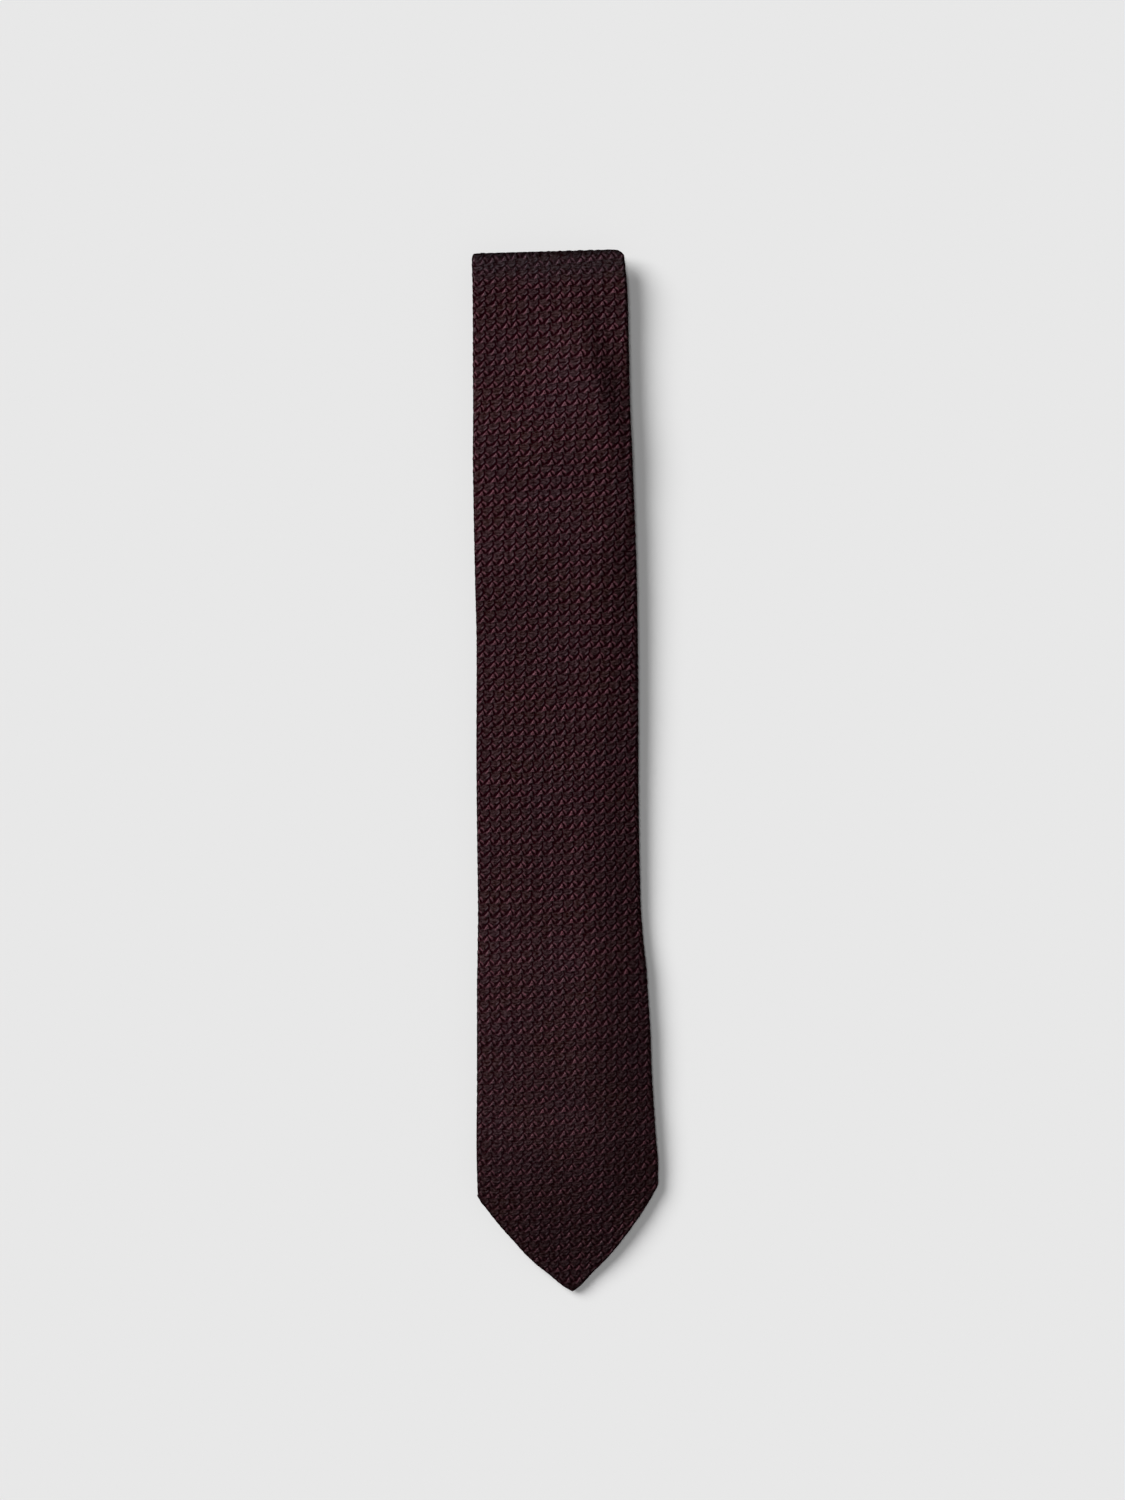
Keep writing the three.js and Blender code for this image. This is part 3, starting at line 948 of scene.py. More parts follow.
def stroke_group() -> bpy.types.NodeTree:
    """A group that gives how much of a stroke of the repeat lies at a point.

    Returns:
        The group, with inputs Place in millimetres, Centre, Direction, Half Length and Half Width.
    """
    group = bpy.data.node_groups.new("weave stroke", "ShaderNodeTree")
    for name in ("Place", "Centre", "Direction"):
        group.interface.new_socket(name, in_out="INPUT", socket_type="NodeSocketVector")
    for name in ("Half Length", "Half Width"):
        group.interface.new_socket(name, in_out="INPUT", socket_type="NodeSocketFloat")
    group.interface.new_socket("Mask", in_out="OUTPUT", socket_type="NodeSocketFloat")
    place, centre, direction, half_length, half_width, _ = add_node(group, "NodeGroupInput").outputs
    high = (GauzeWeave.cell[0] / 2, GauzeWeave.cell[1] / 2, 1.0)
    low = (-high[0], -high[1], -1.0)
    away = add_node(group, VECTOR_MATH, {0: place, 1: centre}, operation="SUBTRACT")
    near = add_node(group, VECTOR_MATH, {0: away, 1: high, 2: low}, operation="WRAP")
    along = add_node(group, VECTOR_MATH, {0: near, 1: direction}, operation="DOT_PRODUCT")
    back = add_node(group, MATH, {0: half_length, 1: -1.0}, operation="MULTIPLY")
    full = add_node(group, MATH, {0: half_width, 1: GauzeWeave.core}, operation="MULTIPLY")
    kept = add_node(group, "ShaderNodeClamp", {0: along, 1: back, 2: half_length})
    foot = add_node(group, VECTOR_MATH, {0: direction, "Scale": kept}, operation="SCALE")
    off = add_node(group, VECTOR_MATH, {0: near, 1: foot}, operation="DISTANCE")
    reach = {"Value": off, "From Min": half_width, "From Max": full}
    mask = add_node(group, MAP_RANGE, reach, interpolation_type="SMOOTHSTEP")
    add_node(group, "NodeGroupOutput", {0: mask})
    return group


@dataclass(frozen=True)
class GauzeSilk:
    """Filament silk, yarn-dyed black, plum and crimson and woven as a large gauze.

    Its long flat filaments reflect light in their own colour, so the cloth is shaded mostly as a coloured
    lustre, which falls off quickly where it turns away from the light. The ground is dull and ribbed, the
    gaps beside the twisted warps are nearly black, dark silk with painted shade in them, the notch beside
    each knot is partly its painted shadow, the float beside each gap is lighter partly as a painted
    highlight, and the knots stand out and shine a little more. The top fold is greyed as a painted sheen.
    """

    name: str = "gauze_silk"
    ground: str = "#27191c"
    ground_warm: str = "#281919"
    crimson: str = "#4c2d34"
    roughness_ground: float = 0.45
    roughness_knot: float = 0.42
    lustre: float = 0.79
    specular: float = 0.02
    gloss: str = "#7a5a60"
    bump: float = 0.45
    # The ground's ribs are about 0.8 mm apart on the real cloth, too fine to show, so they are drawn wider
    rib_mm: float = 1.3
    rib_shade: tuple[float, float] = (0.82, 1.18)
    rib_relief: float = 0.05
    yarn_mm: float = 0.34
    yarn_relief: float = 0.05
    # Slubs, about 1.5 mm long, change the ground by this linear colour, and every part by this share
    slub_stretch: tuple[float, float, float] = (0.65, 1.1, 1.0)
    slub_colour: tuple[float, float, float] = (0.011, 0.0082, 0.0089)
    slub_share: float = 0.26
    slub_from: tuple[float, float] = (0.35, 0.65)
    # Cloudy changes of the dye over about four to six cells, and from where to where they count
    warm_clouds: float = 0.23
    warm_from: tuple[float, float] = (0.35, 0.68)
    red_clouds: float = 0.16
    red_from: tuple[float, float] = (0.4, 0.95)
    # From cell to cell, a knot is redder and brighter by chance, and a hood, wing or float is weaker
    red_by_chance: float = 0.35
    knot_bright: tuple[float, float] = (0.8, 1.15)
    weak_below: float = 0.8
    weakest: float = 0.35
    # Only this share of the pattern shows below the first of these rows, and all of it above the second
    even_rows: tuple[float, float] = (22.0, 50.0)
    even_share: float = 0.77
    # The knots show less towards the left edge
    knot_fade_columns: tuple[float, float] = (-7.0, -1.5)
    knot_fade_shares: tuple[float, float] = (0.68, 1.08)
    # The band along the top fold, in metres: the pattern shows less there, and its colour is greyed there
    # as a painted sheen
    fold_y: tuple[float, float] = (0.2155, 0.2225)
    fold_loss: float = 0.35
    fold_sheen_tint: tuple[float, float, float] = (0.84, 1.06, 1.08)

    def masks(self, tree: bpy.types.NodeTree, place: bpy.types.Node) -> dict[Yarn, bpy.types.Node]:
        """How much of each part of the repeat lies at a point.

        Args:
            tree: The material's tree.
            place: Millimetres on the weave's lattice.

        Returns:
            For each part, the node that gives it from 0 to 1.
        """
        group = stroke_group()
        masks: dict[Yarn, bpy.types.Node] = {}
        for stroke in STROKES:
            inputs = {
                "Place": place,
                "Centre": (*stroke.centre, 0.0),
                "Direction": (*stroke.direction, 0.0),
                "Half Length": stroke.half_length,
                "Half Width": stroke.half_width,
            }
            mask = add_node(tree, "ShaderNodeGroup", inputs, node_tree=group)
            if stroke.yarn in masks:
                mask = add_node(tree, MATH, {0: masks[stroke.yarn], 1: mask}, operation="MAXIMUM")
            masks[stroke.yarn] = mask
        return masks

    def ground_colour(
        self, tree: bpy.types.NodeTree, cells: bpy.types.Node, ribs: bpy.types.Node, slubs: bpy.types.Node
    ) -> bpy.types.Node:
        """The matt ground between the strokes: black and plum in soft clouds, ribbed and slubbed.

        Args:
            tree: The material's tree.
            cells: Cell coordinates of the weave.
            ribs: The ground's ribs.
            slubs: The slubs, from -1 to 1.

        Returns:
            The node that gives the colour.
        """
        cloud = add_node(tree, NOISE, {"Vector": cells, "Scale": self.warm_clouds, "Detail": 3.0})
        low, high = self.warm_from
        warm = add_node(tree, MAP_RANGE, {"Value": cloud, "From Min": low, "From Max": high})
        dyes = {"Factor": warm, 6: to_linear(self.ground), 7: to_linear(self.ground_warm)}
        colour = add_node(tree, MIX, dyes, data_type="RGBA")
        low, high = self.rib_shade
        shade = add_node(tree, MAP_RANGE, {"Value": ribs.outputs["Fac"], "To Min": low, "To Max": high})
        colour = add_node(tree, VECTOR_MATH, {0: colour, "Scale": shade}, operation="SCALE")
        slubbed = {0: slubs, 1: self.slub_colour, 2: colour}
        return add_node(tree, VECTOR_MATH, slubbed, operation="MULTIPLY_ADD")

    def knot_colour(
        self, tree: bpy.types.NodeTree, cells: bpy.types.Node, chance: bpy.types.Node
    ) -> bpy.types.Node:
        """The knots' colour, from plum to crimson in clouds and by chance, and brighter by chance.

        Args:
            tree: The material's tree.
            cells: Cell coordinates of the weave.
            chance: A random value for each cell.

        Returns:
            The node that gives the colour.
        """
        cloud = add_node(tree, NOISE, {"Vector": cells, "Scale": self.red_clouds, "Detail": 2.0})
        mixed = add_node(tree, MATH, {0: chance, 1: self.red_by_chance, 2: cloud}, operation="MULTIPLY_ADD")
        low, high = self.red_from
        redder = add_node(tree, MAP_RANGE, {"Value": mixed, "From Min": low, "From Max": high})
        dyes = {"Factor": redder, 6: to_linear(YARN_LOOKS[Yarn.KNOT].colour), 7: to_linear(self.crimson)}
        colour = add_node(tree, MIX, dyes, data_type="RGBA")
        low, high = self.knot_bright
        bright = add_node(tree, MAP_RANGE, {"Value": chance, "To Min": low, "To Max": high})
        return add_node(tree, VECTOR_MATH, {0: colour, "Scale": bright}, operation="SCALE")

    def shown(
        self,
        tree: bpy.types.NodeTree,
        cells: bpy.types.Node,
        chance: bpy.types.Node,
        pressed: bpy.types.Node,
        masks: dict[Yarn, bpy.types.Node],
    ) -> dict[Yarn, bpy.types.Node]:
        """How much of each part's own colour shows at a point.

        Args:
            tree: The material's tree.
            cells: Cell coordinates of the weave.
            chance: A random colour for each cell, which weakens some hoods, wings and floats.
            pressed: Whether the point is on the band along the top fold, from 0 to 1.
            masks: How much of each part lies at a point.

        Returns:
            For each part, the node that gives it from 0 to 1.
        """
        column, row, _ = add_node(tree, SEPARATE, {0: cells}).outputs
        rows = {"Value": row, "From Min": self.even_rows[0], "From Max": self.even_rows[1]}
        distinct = add_node(tree, MAP_RANGE, {**rows, "To Min": self.even_share})
        unpressed = add_node(tree, MATH, {0: pressed, 1: -self.fold_loss, 2: 1.0}, operation="MULTIPLY_ADD")
        clearer = add_node(tree, MATH, {0: distinct, 1: unpressed}, operation="MULTIPLY")
        left = {"Value": column, "From Min": self.knot_fade_columns[0], "From Max": self.knot_fade_columns[1]}
        low, high = self.knot_fade_shares
        own = {Yarn.KNOT: add_node(tree, MAP_RANGE, {**left, "To Min": low, "To Max": high})}
        chances = add_node(tree, SEPARATE, {0: chance.outputs["Color"]}).outputs
        for yarn, part in zip((Yarn.HOOD, Yarn.WING, Yarn.FLOAT), chances):
            weak = {"Value": part, "From Max": self.weak_below, "To Min": self.weakest}
            own[yarn] = add_node(tree, MAP_RANGE, weak)
        shown: dict[Yarn, bpy.types.Node] = {}
        for yarn, look in YARN_LOOKS.items():
            clear = clearer
            for factor in (look.show, own.get(yarn, 1.0), masks[yarn]):
                clear = add_node(tree, MATH, {0: clear, 1: factor}, operation="MULTIPLY")
            shown[yarn] = clear
        return shown

    def material(self) -> bpy.types.Material:
        """Builds the silk.

        Returns:
            The material, which reads the weave map in cells.
        """
        material = new_material(self.name)
        tree = material.node_tree
        cells = add_node(tree, "ShaderNodeUVMap", uv_map=WEAVE_MAP)
        place = add_node(tree, VECTOR_MATH, {0: cells, 1: (*GauzeWeave.cell, 1.0)}, operation="MULTIPLY")
        whole = add_node(tree, VECTOR_MATH, {0: cells, 1: (0.5, 0.5, 0.0)}, operation="ADD")
        index = add_node(tree, VECTOR_MATH, {0: whole}, operation="FLOOR")
        chance = add_node(tree, "ShaderNodeTexWhiteNoise", {"Vector": index}, noise_dimensions="2D")
        rib = {"Vector": place, "Scale": bands_scale(self.rib_mm), "Distortion": 0.6, "Detail": 1.0}
        ribs = add_node(tree, WAVE, rib, bands_direction="Y")
        yarn_twist = {"Vector": place, "Scale": bands_scale(self.yarn_mm), "Distortion": 2.0, "Detail": 2.0}
        yarns = add_node(tree, WAVE, yarn_twist, bands_direction="DIAGONAL")
        stretched = add_node(tree, VECTOR_MATH, {0: place, 1: self.slub_stretch}, operation="MULTIPLY")
        noise = add_node(tree, NOISE, {"Vector": stretched, "Scale": 1.0, "Detail": 2.0, "Roughness": 0.6})
        slub = {"Value": noise, "From Min": self.slub_from[0], "From Max": self.slub_from[1]}
        slubs = add_node(tree, MAP_RANGE, {**slub, "To Min": -1.0})
        on_tie = add_node(tree, "ShaderNodeTexCoord").outputs["Object"]
        along = add_node(tree, SEPARATE, {0: on_tie}).outputs[1]
        # pressed marks the band along the top fold, where the pattern shows less and the colour is greyed
        # as a painted sheen
        fold = {"Value": along, "From Min": self.fold_y[0], "From Max": self.fold_y[1]}
        pressed = add_node(tree, MAP_RANGE, fold)

        masks = self.masks(tree, place)
        shown = self.shown(tree, cells, chance, pressed, masks)
        colour = self.ground_colour(tree, cells, ribs, slubs)
        knot = self.knot_colour(tree, cells, chance)
        for yarn, look in YARN_LOOKS.items():
            own = knot if yarn is Yarn.KNOT else to_linear(look.colour)
            colour = add_node(tree, MIX, {"Factor": shown[yarn], 6: colour, 7: own}, data_type="RGBA")
        varied = add_node(tree, MATH, {0: slubs, 1: self.slub_share, 2: 1.0}, operation="MULTIPLY_ADD")
        colour = add_node(tree, VECTOR_MATH, {0: colour, "Scale": varied}, operation="SCALE")
        # Painted sheen: the colour is greyed on the band along the top fold
        painted_sheen_grey = add_node(tree, VECTOR_MATH, {0: colour, 1: self.fold_sheen_tint}, operation="MULTIPLY")
        colour = add_node(tree, MIX, {"Factor": pressed, 6: colour, 7: painted_sheen_grey}, data_type="RGBA")

        reliefs = [(masks[yarn], look.relief) for yarn, look in YARN_LOOKS.items()]
        reliefs += [(yarns.outputs["Fac"], self.yarn_relief), (ribs.outputs["Fac"], self.rib_relief)]
        height: object = 0.0
        for part, relief in reliefs:
            height = add_node(tree, MATH, {0: part, 1: relief, 2: height}, operation="MULTIPLY_ADD")
        bump = add_node(tree, "ShaderNodeBump", {"Strength": self.bump, "Distance": MM, "Height": height})
        shine = {"Value": masks[Yarn.KNOT], "To Min": self.roughness_ground, "To Max": self.roughness_knot}
        surface = {
            "Base Color": colour,
            "Roughness": add_node(tree, MAP_RANGE, shine),
            "Metallic": self.lustre,
            "Specular IOR Level": self.specular,
            "Specular Tint": to_linear(self.gloss),
            "Normal": bump,
        }
        add_node(tree, OUTPUT, {"Surface": add_node(tree, PRINCIPLED, surface)})
        return material


@dataclass(frozen=True)
class TwistedThread:
    """Three-ply silk sewing thread, dyed burgundy. Its twist shows as slanting bands with a soft gloss."""

    name: str = "twisted_thread"
    colour: str = "#5a2630"
    # Painted shade: the grooves between the plies take this darker colour
    groove_shade: str = "#2c1015"
    roughness: float = 0.5
    specular: float = 0.3
    bump: float = 0.5
    twist_mm: float = 0.6
    twist_relief: float = 0.1

    def material(self) -> bpy.types.Material:
        """Builds the thread.

        Returns:
            The material.
        """
        material = new_material(self.name)
        tree = material.node_tree
        place = add_node(tree, "ShaderNodeTexCoord").outputs["Object"]
        twist = {"Vector": place, "Scale": bands_scale(self.twist_mm * MM), "Distortion": 1.0}
        ply = add_node(tree, WAVE, twist, bands_direction="DIAGONAL").outputs["Fac"]
        # Painted shade: where the twist's bump is low, in the grooves between the plies, the darker colour
        # shows
        shades = {"Factor": ply, 6: to_linear(self.groove_shade), 7: to_linear(self.colour)}
        colour = add_node(tree, MIX, shades, data_type="RGBA")
        raised = {"Strength": self.bump, "Distance": self.twist_relief * MM, "Height": ply}
        surface = {
            "Base Color": colour,
            "Roughness": self.roughness,
            "Specular IOR Level": self.specular,
            "Normal": add_node(tree, "ShaderNodeBump", raised),
        }
        add_node(tree, OUTPUT, {"Surface": add_node(tree, PRINCIPLED, surface)})
        return material


@dataclass(frozen=True)
class MattPaper:
    """A roll of matt studio paper, which gives an even pale ground."""

    name: str = "matt_paper"
    colour: str = "#e8e8e8"
    roughness: float = 1.0
    specular: float = 0.0

    def material(self) -> bpy.types.Material:
        """Builds the paper.

        Returns:
            The material.
        """
        material = new_material(self.name)
        tree = material.node_tree
        surface = {
            "Base Color": to_linear(self.colour),
            "Roughness": self.roughness,
            "Specular IOR Level": self.specular,
        }
        add_node(tree, OUTPUT, {"Surface": add_node(tree, PRINCIPLED, surface)})
        return material


def make_mesh(
    name: str,
    points: Array,
    faces: Sequence[Sequence[int]],
    material: bpy.types.Material,
    cells: Array | None = None,
) -> bpy.types.Object:
    """Makes a smooth mesh object at the origin.

    Args:
        name: The object's name.
        points: Its points in metres.
        faces: The points of each face, in order.
        material: Its material.
        cells: The weave's cell coordinates of each point, if it has any.

    Returns:
        The object, linked to the scene.
    """
    mesh = bpy.data.meshes.new(name)
    mesh.from_pydata(points.tolist(), [], faces)
    mesh.materials.append(material)
    mesh.shade_smooth()
    if cells is not None:
        corner = np.empty(len(mesh.loops), np.int32)
        mesh.loops.foreach_get("vertex_index", corner)
        layer = mesh.uv_layers.new(name=WEAVE_MAP)
        layer.uv.foreach_set("vector", cells[corner].astype(np.float32).ravel())
    mesh.validate()
    obj = bpy.data.objects.new(name, mesh)
    bpy.context.scene.collection.objects.link(obj)
    return obj


def to_metres(points: Array) -> Array:
    """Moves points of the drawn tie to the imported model's origin, in metres."""
    return (points - ORIGIN) * MM


def loft(name: str, rings: Array, cells: Array, material: bpy.types.Material) -> bpy.types.Object:
    """Makes a closed tube from rings of points of the drawn tie, with a face over each of its ends.

    Args:
        name: The object's name.
        rings: The points, ring by ring.
        cells: The weave's cell coordinates of each.
        material: The material.

    Returns:
        The object, linked to the scene.
    """
    steps, count = rings.shape[:2]
    start = np.arange(steps - 1)[:, None] * count
    here = np.arange(count)[None, :]
    beside = (here + 1) % count
    corners = (here, beside, beside + count, here + count)
    quads = np.stack([start + corner for corner in corners], -1).reshape(-1, 4)
    first = tuple(range(count - 1, -1, -1))
    last = tuple(range((steps - 1) * count, steps * count))
    faces = [*map(tuple, quads.tolist()), first, last]
    return make_mesh(name, to_metres(rings.reshape(-1, 3)), faces, material, cells.reshape(-1, 2))


@dataclass(frozen=True)
class Fineness:
    """How many steps a panel's cross-section has, on its outer skin and on its inner one."""

    face: int
    edge: int
    back: int
    inner_face: int = 5
    inner_edge: int = 3


@dataclass
class SilkPanel:
    """One panel of the tie: silk folded into a flat tube, open along the middle of its back.

    The stations are the places of its sections along the tie, the seams are where it is sewn to its
    neighbours, and depth gives how much of the weave's relief stands at a place along the tie.
    """

    tie: FoldedTie
    weave: GauzeWeave
    node: str
    fineness: Fineness
    stations: Array
    seams: Sequence[float]
    depth: Callable[[Array], Array]
    end_round: float = 1.2
    most_turn: float = 0.9
    least_end: float = 0.0004
    flat: tuple[float, float] = (0.0, 0.0)
    area: float = 0.0

    def half(self, face: int, edge: int, back: int) -> Array:
        """Lays out half a section, from the middle of its face round its edge to the slit.

        Args:
            face: The steps of the face.
            edge: The steps of the rounded edge.
            back: The steps of the flap at the back.

        Returns:
            Rows of how far round, share of the flat width, angle in degrees, and whether it is the back.
        """
        rows = [(t, t, 90.0, 0.0) for t in np.arange(face) / face]
        rows += [(1.0, 1.0, 90.0 - 180.0 * t, 0.0) for t in np.arange(edge) / edge]
        rows += [(1 + t, 1 - t, -90.0, 1.0) for t in np.arange(back) / back]
        rows.append((2.0, 0.0, -90.0, 1.0))
        return np.array(rows)

    def slant(self) -> Array:
        """Slants the sections towards the panel's sewn ends.

        Returns:
            For each, from 0 to the whole bias of 1 at a seam.
        """
        ease = self.tie.size.seam_ease
        near = [1 - smoothstep(np.abs(self.stations - seam), 0, ease) for seam in self.seams]
        return np.maximum.reduce([np.zeros_like(self.stations), *near])

    def skin(self, half: Array, off: float) -> tuple[Array, Array]:
        """The points of one skin of the wall.

        Args:
            half: Half a section's way round.
            off: How far the skin lies off the layer's middle.

        Returns:
            The points, one row of them for each section from the left flap to the right, and their cells.
        """
        tie, size = self.tie, self.tie.size
        rows = np.concatenate([half[::-1], half[1:]])
        side = np.concatenate([-np.ones(len(half)), np.ones(len(half) - 1)])[None, :]
        around, flat, degrees, back = (rows[:, i][None, :] for i in range(4))
        station = self.stations[:, None]
        s = station + self.slant()[:, None] * side * around * tie.half_width(station, side)
        from_end = np.minimum(s, tie.length - s)
        share = 1 - np.clip(from_end / (self.end_round * size.thick), 0, 1)
        shrink = np.sqrt(np.clip(1 - share**2, self.least_end, 1))
        width = tie.half_width(s, side) * shrink
        turn = np.minimum(size.thick / 2, self.most_turn * width)
        radius = width - turn
        start = np.where(back > 0, np.minimum(tie.flap_edge(s, side) * shrink, radius), 0.0)
        angle = np.radians(degrees)
        from_middle = lerp(start, radius, flat)
        travelled = np.where(back > 0, radius + math.pi * turn + radius - from_middle, from_middle)
        travelled = travelled + np.where(back > 0, 0, turn * (math.pi / 2 - angle))
        cells = self.weave.lattice(s, side * travelled)
        lift = self.depth(s) * self.weave.relief(cells) if off > size.inner else 0.0
        reach = off * turn / (size.thick / 2) + lift
        thin = np.where(from_end < size.thick, shrink, 1.0)
        points = tie.place(s, side * (from_middle + reach * np.cos(angle)), reach * np.sin(angle) * thin)
        return points, cells

    def build(self, silk: bpy.types.Material) -> bpy.types.Object:
        """Builds the panel's mesh, and works out the size and area of its flat cut in metres.

        Args:
            silk: Its material.

        Returns:
            The panel's object.
        """
        fine, size = self.fineness, self.tie.size
        outer, outer_cells = self.skin(self.half(fine.face, fine.edge, fine.back), size.outer)
        inner_half = self.half(fine.inner_face, fine.inner_edge, fine.inner_face)
        inner, inner_cells = self.skin(inner_half, size.inner)
        unfolded = np.linalg.norm(np.diff(outer, axis=1), axis=2).sum(1) * MM
        slanted = self.slant()[[0, -1]] * unfolded[[0, -1]] / 2
        length = (self.stations[-1] - self.stations[0]) * MM + slanted.sum()
        self.flat = (float(unfolded.max()), float(length))
        self.area = float((unfolded[1:] + unfolded[:-1]) @ np.diff(self.stations * MM) / 2)
        points = np.concatenate([outer, inner[:, ::-1]], 1)
        cells = np.concatenate([outer_cells, inner_cells[:, ::-1]], 1)
        return loft(f"{self.node}_silk", points, cells, silk)


@dataclass(frozen=True)
class SilkBody:
    """The three silk panels, sewn end to end on slanting seams. Sizes are in millimetres."""

    tie: FoldedTie
    weave: GauzeWeave
    from_end: float = 0.02
    face_step: float = 0.82
    hidden_step: float = 5.5
    back_step: float = 0.9
    relief_from_fold: tuple[float, float] = (-3, 6)
    back_relief: float = 0.5

    def face_depth(self, s: Array) -> Array:
        """How much of the relief stands on the front blade: all on its face, none where it is hidden."""
        start, end = (self.tie.legs[1].start + off for off in self.relief_from_fold)
        return 1 - smoothstep(s, start, end)

    def back_depth(self, s: Array) -> Array:
        """How much of it stands on the neck and the tail, which lie pressed below the blade."""
        return np.full_like(s, self.back_relief)

    def panels(self) -> list[SilkPanel]:
        """Lays out the panels, with the blade's sections finest on the face that shows.

        Returns:
            The front blade, the neck and the tail.
        """
        tie, weave = self.tie, self.weave
        seam_half = tie.size.seam_gap / 2 * math.sqrt(2)
        under = tie.legs[1].start + self.relief_from_fold[1]
        shown = spaced(self.from_end, under, self.face_step)[:-1]
        hidden = spaced(under, tie.first_seam - seam_half, self.hidden_step)
        blade = np.concatenate([shown, hidden])
        neck = spaced(tie.first_seam + seam_half, tie.second_seam - seam_half, self.back_step)
        tail = spaced(tie.second_seam + seam_half, tie.length - self.from_end, self.back_step)
        seams = [tie.first_seam, tie.second_seam]
        plans = (
            ("front_blade", Fineness(face=50, edge=7, back=5), blade, seams[:1], self.face_depth),
            ("neck", Fineness(face=24, edge=5, back=22), neck, seams, self.back_depth),
            ("tail", Fineness(face=28, edge=5, back=24), tail, seams[1:], self.back_depth),
        )
        return [SilkPanel(tie, weave, *plan) for plan in plans]


def group_inputs(tree: bpy.types.NodeTree, numbers: Sequence[str]) -> bpy.types.NodeOutputs:
    """Gives a stitch group its sockets.

    Args:
        tree: The group's empty tree.
        numbers: The names of its sizes.

    Returns:
        What the group is given: Path, the sizes, Seed and Thread.
    """
    tree.is_modifier = True
    sizes = [(name, "Float") for name in numbers]
    for name, kind in [("Path", "Geometry"), *sizes, ("Seed", "Int"), ("Thread", "Material")]:
        tree.interface.new_socket(name, in_out="INPUT", socket_type="NodeSocket" + kind)
    tree.interface.new_socket("Stitches", in_out="OUTPUT", socket_type="NodeSocketGeometry")
    return add_node(tree, "NodeGroupInput").outputs


def set_on_path(
    tree: bpy.types.NodeTree,
    given: bpy.types.NodeOutputs,
    shape: bpy.types.Node,
    slant: bpy.types.NodeSocket | float,
) -> None:
    """Sets a shape on each point of the path, turned by the point's own ahead and up, and ends the group.

    Args:
        tree: The group's tree.
        given: What the group is given.
        shape: One stitch, which runs along x with its top towards z.
        slant: How far it is turned about its up, in radians.
    """
    ahead, up = (
        add_node(tree, "GeometryNodeInputNamedAttribute", {"Name": name}, data_type="FLOAT_VECTOR")
        for name in ("ahead", "up")
    )
    axes = {"primary_axis": "X", "secondary_axis": "Z"}
    laid = add_node(tree, "FunctionNodeAxesToRotation", {0: ahead, 1: up}, **axes)
    most = given["Unevenness"]
    least = add_node(tree, MATH, {0: most, 1: -1.0}, operation="MULTIPLY")
    chance = add_node(tree, "FunctionNodeRandomValue", {2: least, 3: most, 8: given["Seed"]})
    angle = add_node(tree, MATH, {0: slant, 1: chance}, operation="ADD")
    turn = add_node(tree, "FunctionNodeEulerToRotation", {0: add_node(tree, COMBINE, {2: angle})})
    turned = add_node(tree, "FunctionNodeRotateRotation", {0: laid, 1: turn}, rotation_space="LOCAL")
    stitches = {"Points": given["Path"], "Instance": shape, "Rotation": turned}
    sewn = add_node(tree, "GeometryNodeInstanceOnPoints", stitches)
    real = add_node(tree, "GeometryNodeRealizeInstances", {0: sewn})
    smooth = add_node(tree, "GeometryNodeSetShadeSmooth", {0: real})
    dressed = add_node(tree, "GeometryNodeSetMaterial", {"Geometry": smooth, "Material": given["Thread"]})
    add_node(tree, "NodeGroupOutput", {0: dressed})


def hand_stitches() -> bpy.types.NodeTree:
    """Short single stitches along a path.

    Returns:
        The Geometry Nodes group, with inputs Length, Thickness, Slant and Unevenness.
    """
    tree = bpy.data.node_groups.new("hand stitches", "GeometryNodeTree")
    given = group_inputs(tree, ("Length", "Thickness", "Slant", "Unevenness"))
    ball = add_node(tree, "GeometryNodeMeshUVSphere", {"Segments": 8, "Rings": 6, "Radius": 0.5})
    size = add_node(tree, COMBINE, {0: given["Length"], 1: given["Thickness"], 2: given["Thickness"]})
    stitch = add_node(tree, TRANSFORM, {"Geometry": ball, "Scale": size})
    set_on_path(tree, given, stitch, given["Slant"])
    return tree


def wound_bar() -> bpy.types.NodeTree:
    """A bar of thread wound side by side, one for each point of a path.

    Returns:
        The Geometry Nodes group, with inputs Length, Width, Depth, Thickness, Turns and Unevenness.
    """
    tree = bpy.data.node_groups.new("wound bar", "GeometryNodeTree")
    given = group_inputs(tree, ("Length", "Width", "Depth", "Thickness", "Turns", "Unevenness"))
    length, width, depth = (
        add_node(tree, MATH, {0: given[name], 1: given["Thickness"]}, operation="SUBTRACT")
        for name in ("Length", "Width", "Depth")
    )
    winding = {"Rotations": given["Turns"], "Start Radius": 0.5, "End Radius": 0.5, "Height": 1.0}
    coil = add_node(tree, "GeometryNodeCurveSpiral", {"Resolution": 12, **winding})
    size = add_node(tree, COMBINE, {0: depth, 1: width, 2: length})
    pressed = add_node(tree, TRANSFORM, {"Geometry": coil, "Scale": size})
    back = add_node(tree, MATH, {0: length, 1: -0.5}, operation="MULTIPLY")
    lying = {"Translation": add_node(tree, COMBINE, {0: back}), "Rotation": (0.0, math.pi / 2, 0.0)}
    laid = add_node(tree, TRANSFORM, {"Geometry": pressed, **lying})
    radius = add_node(tree, MATH, {0: given["Thickness"], 1: 0.5}, operation="MULTIPLY")
    profile = add_node(tree, "GeometryNodeCurvePrimitiveCircle", {"Resolution": 6, "Radius": radius})
    wound = {"Curve": laid, "Profile Curve": profile, "Fill Caps": True}
    set_on_path(tree, given, add_node(tree, "GeometryNodeCurveToMesh", wound), 0.0)
    return tree


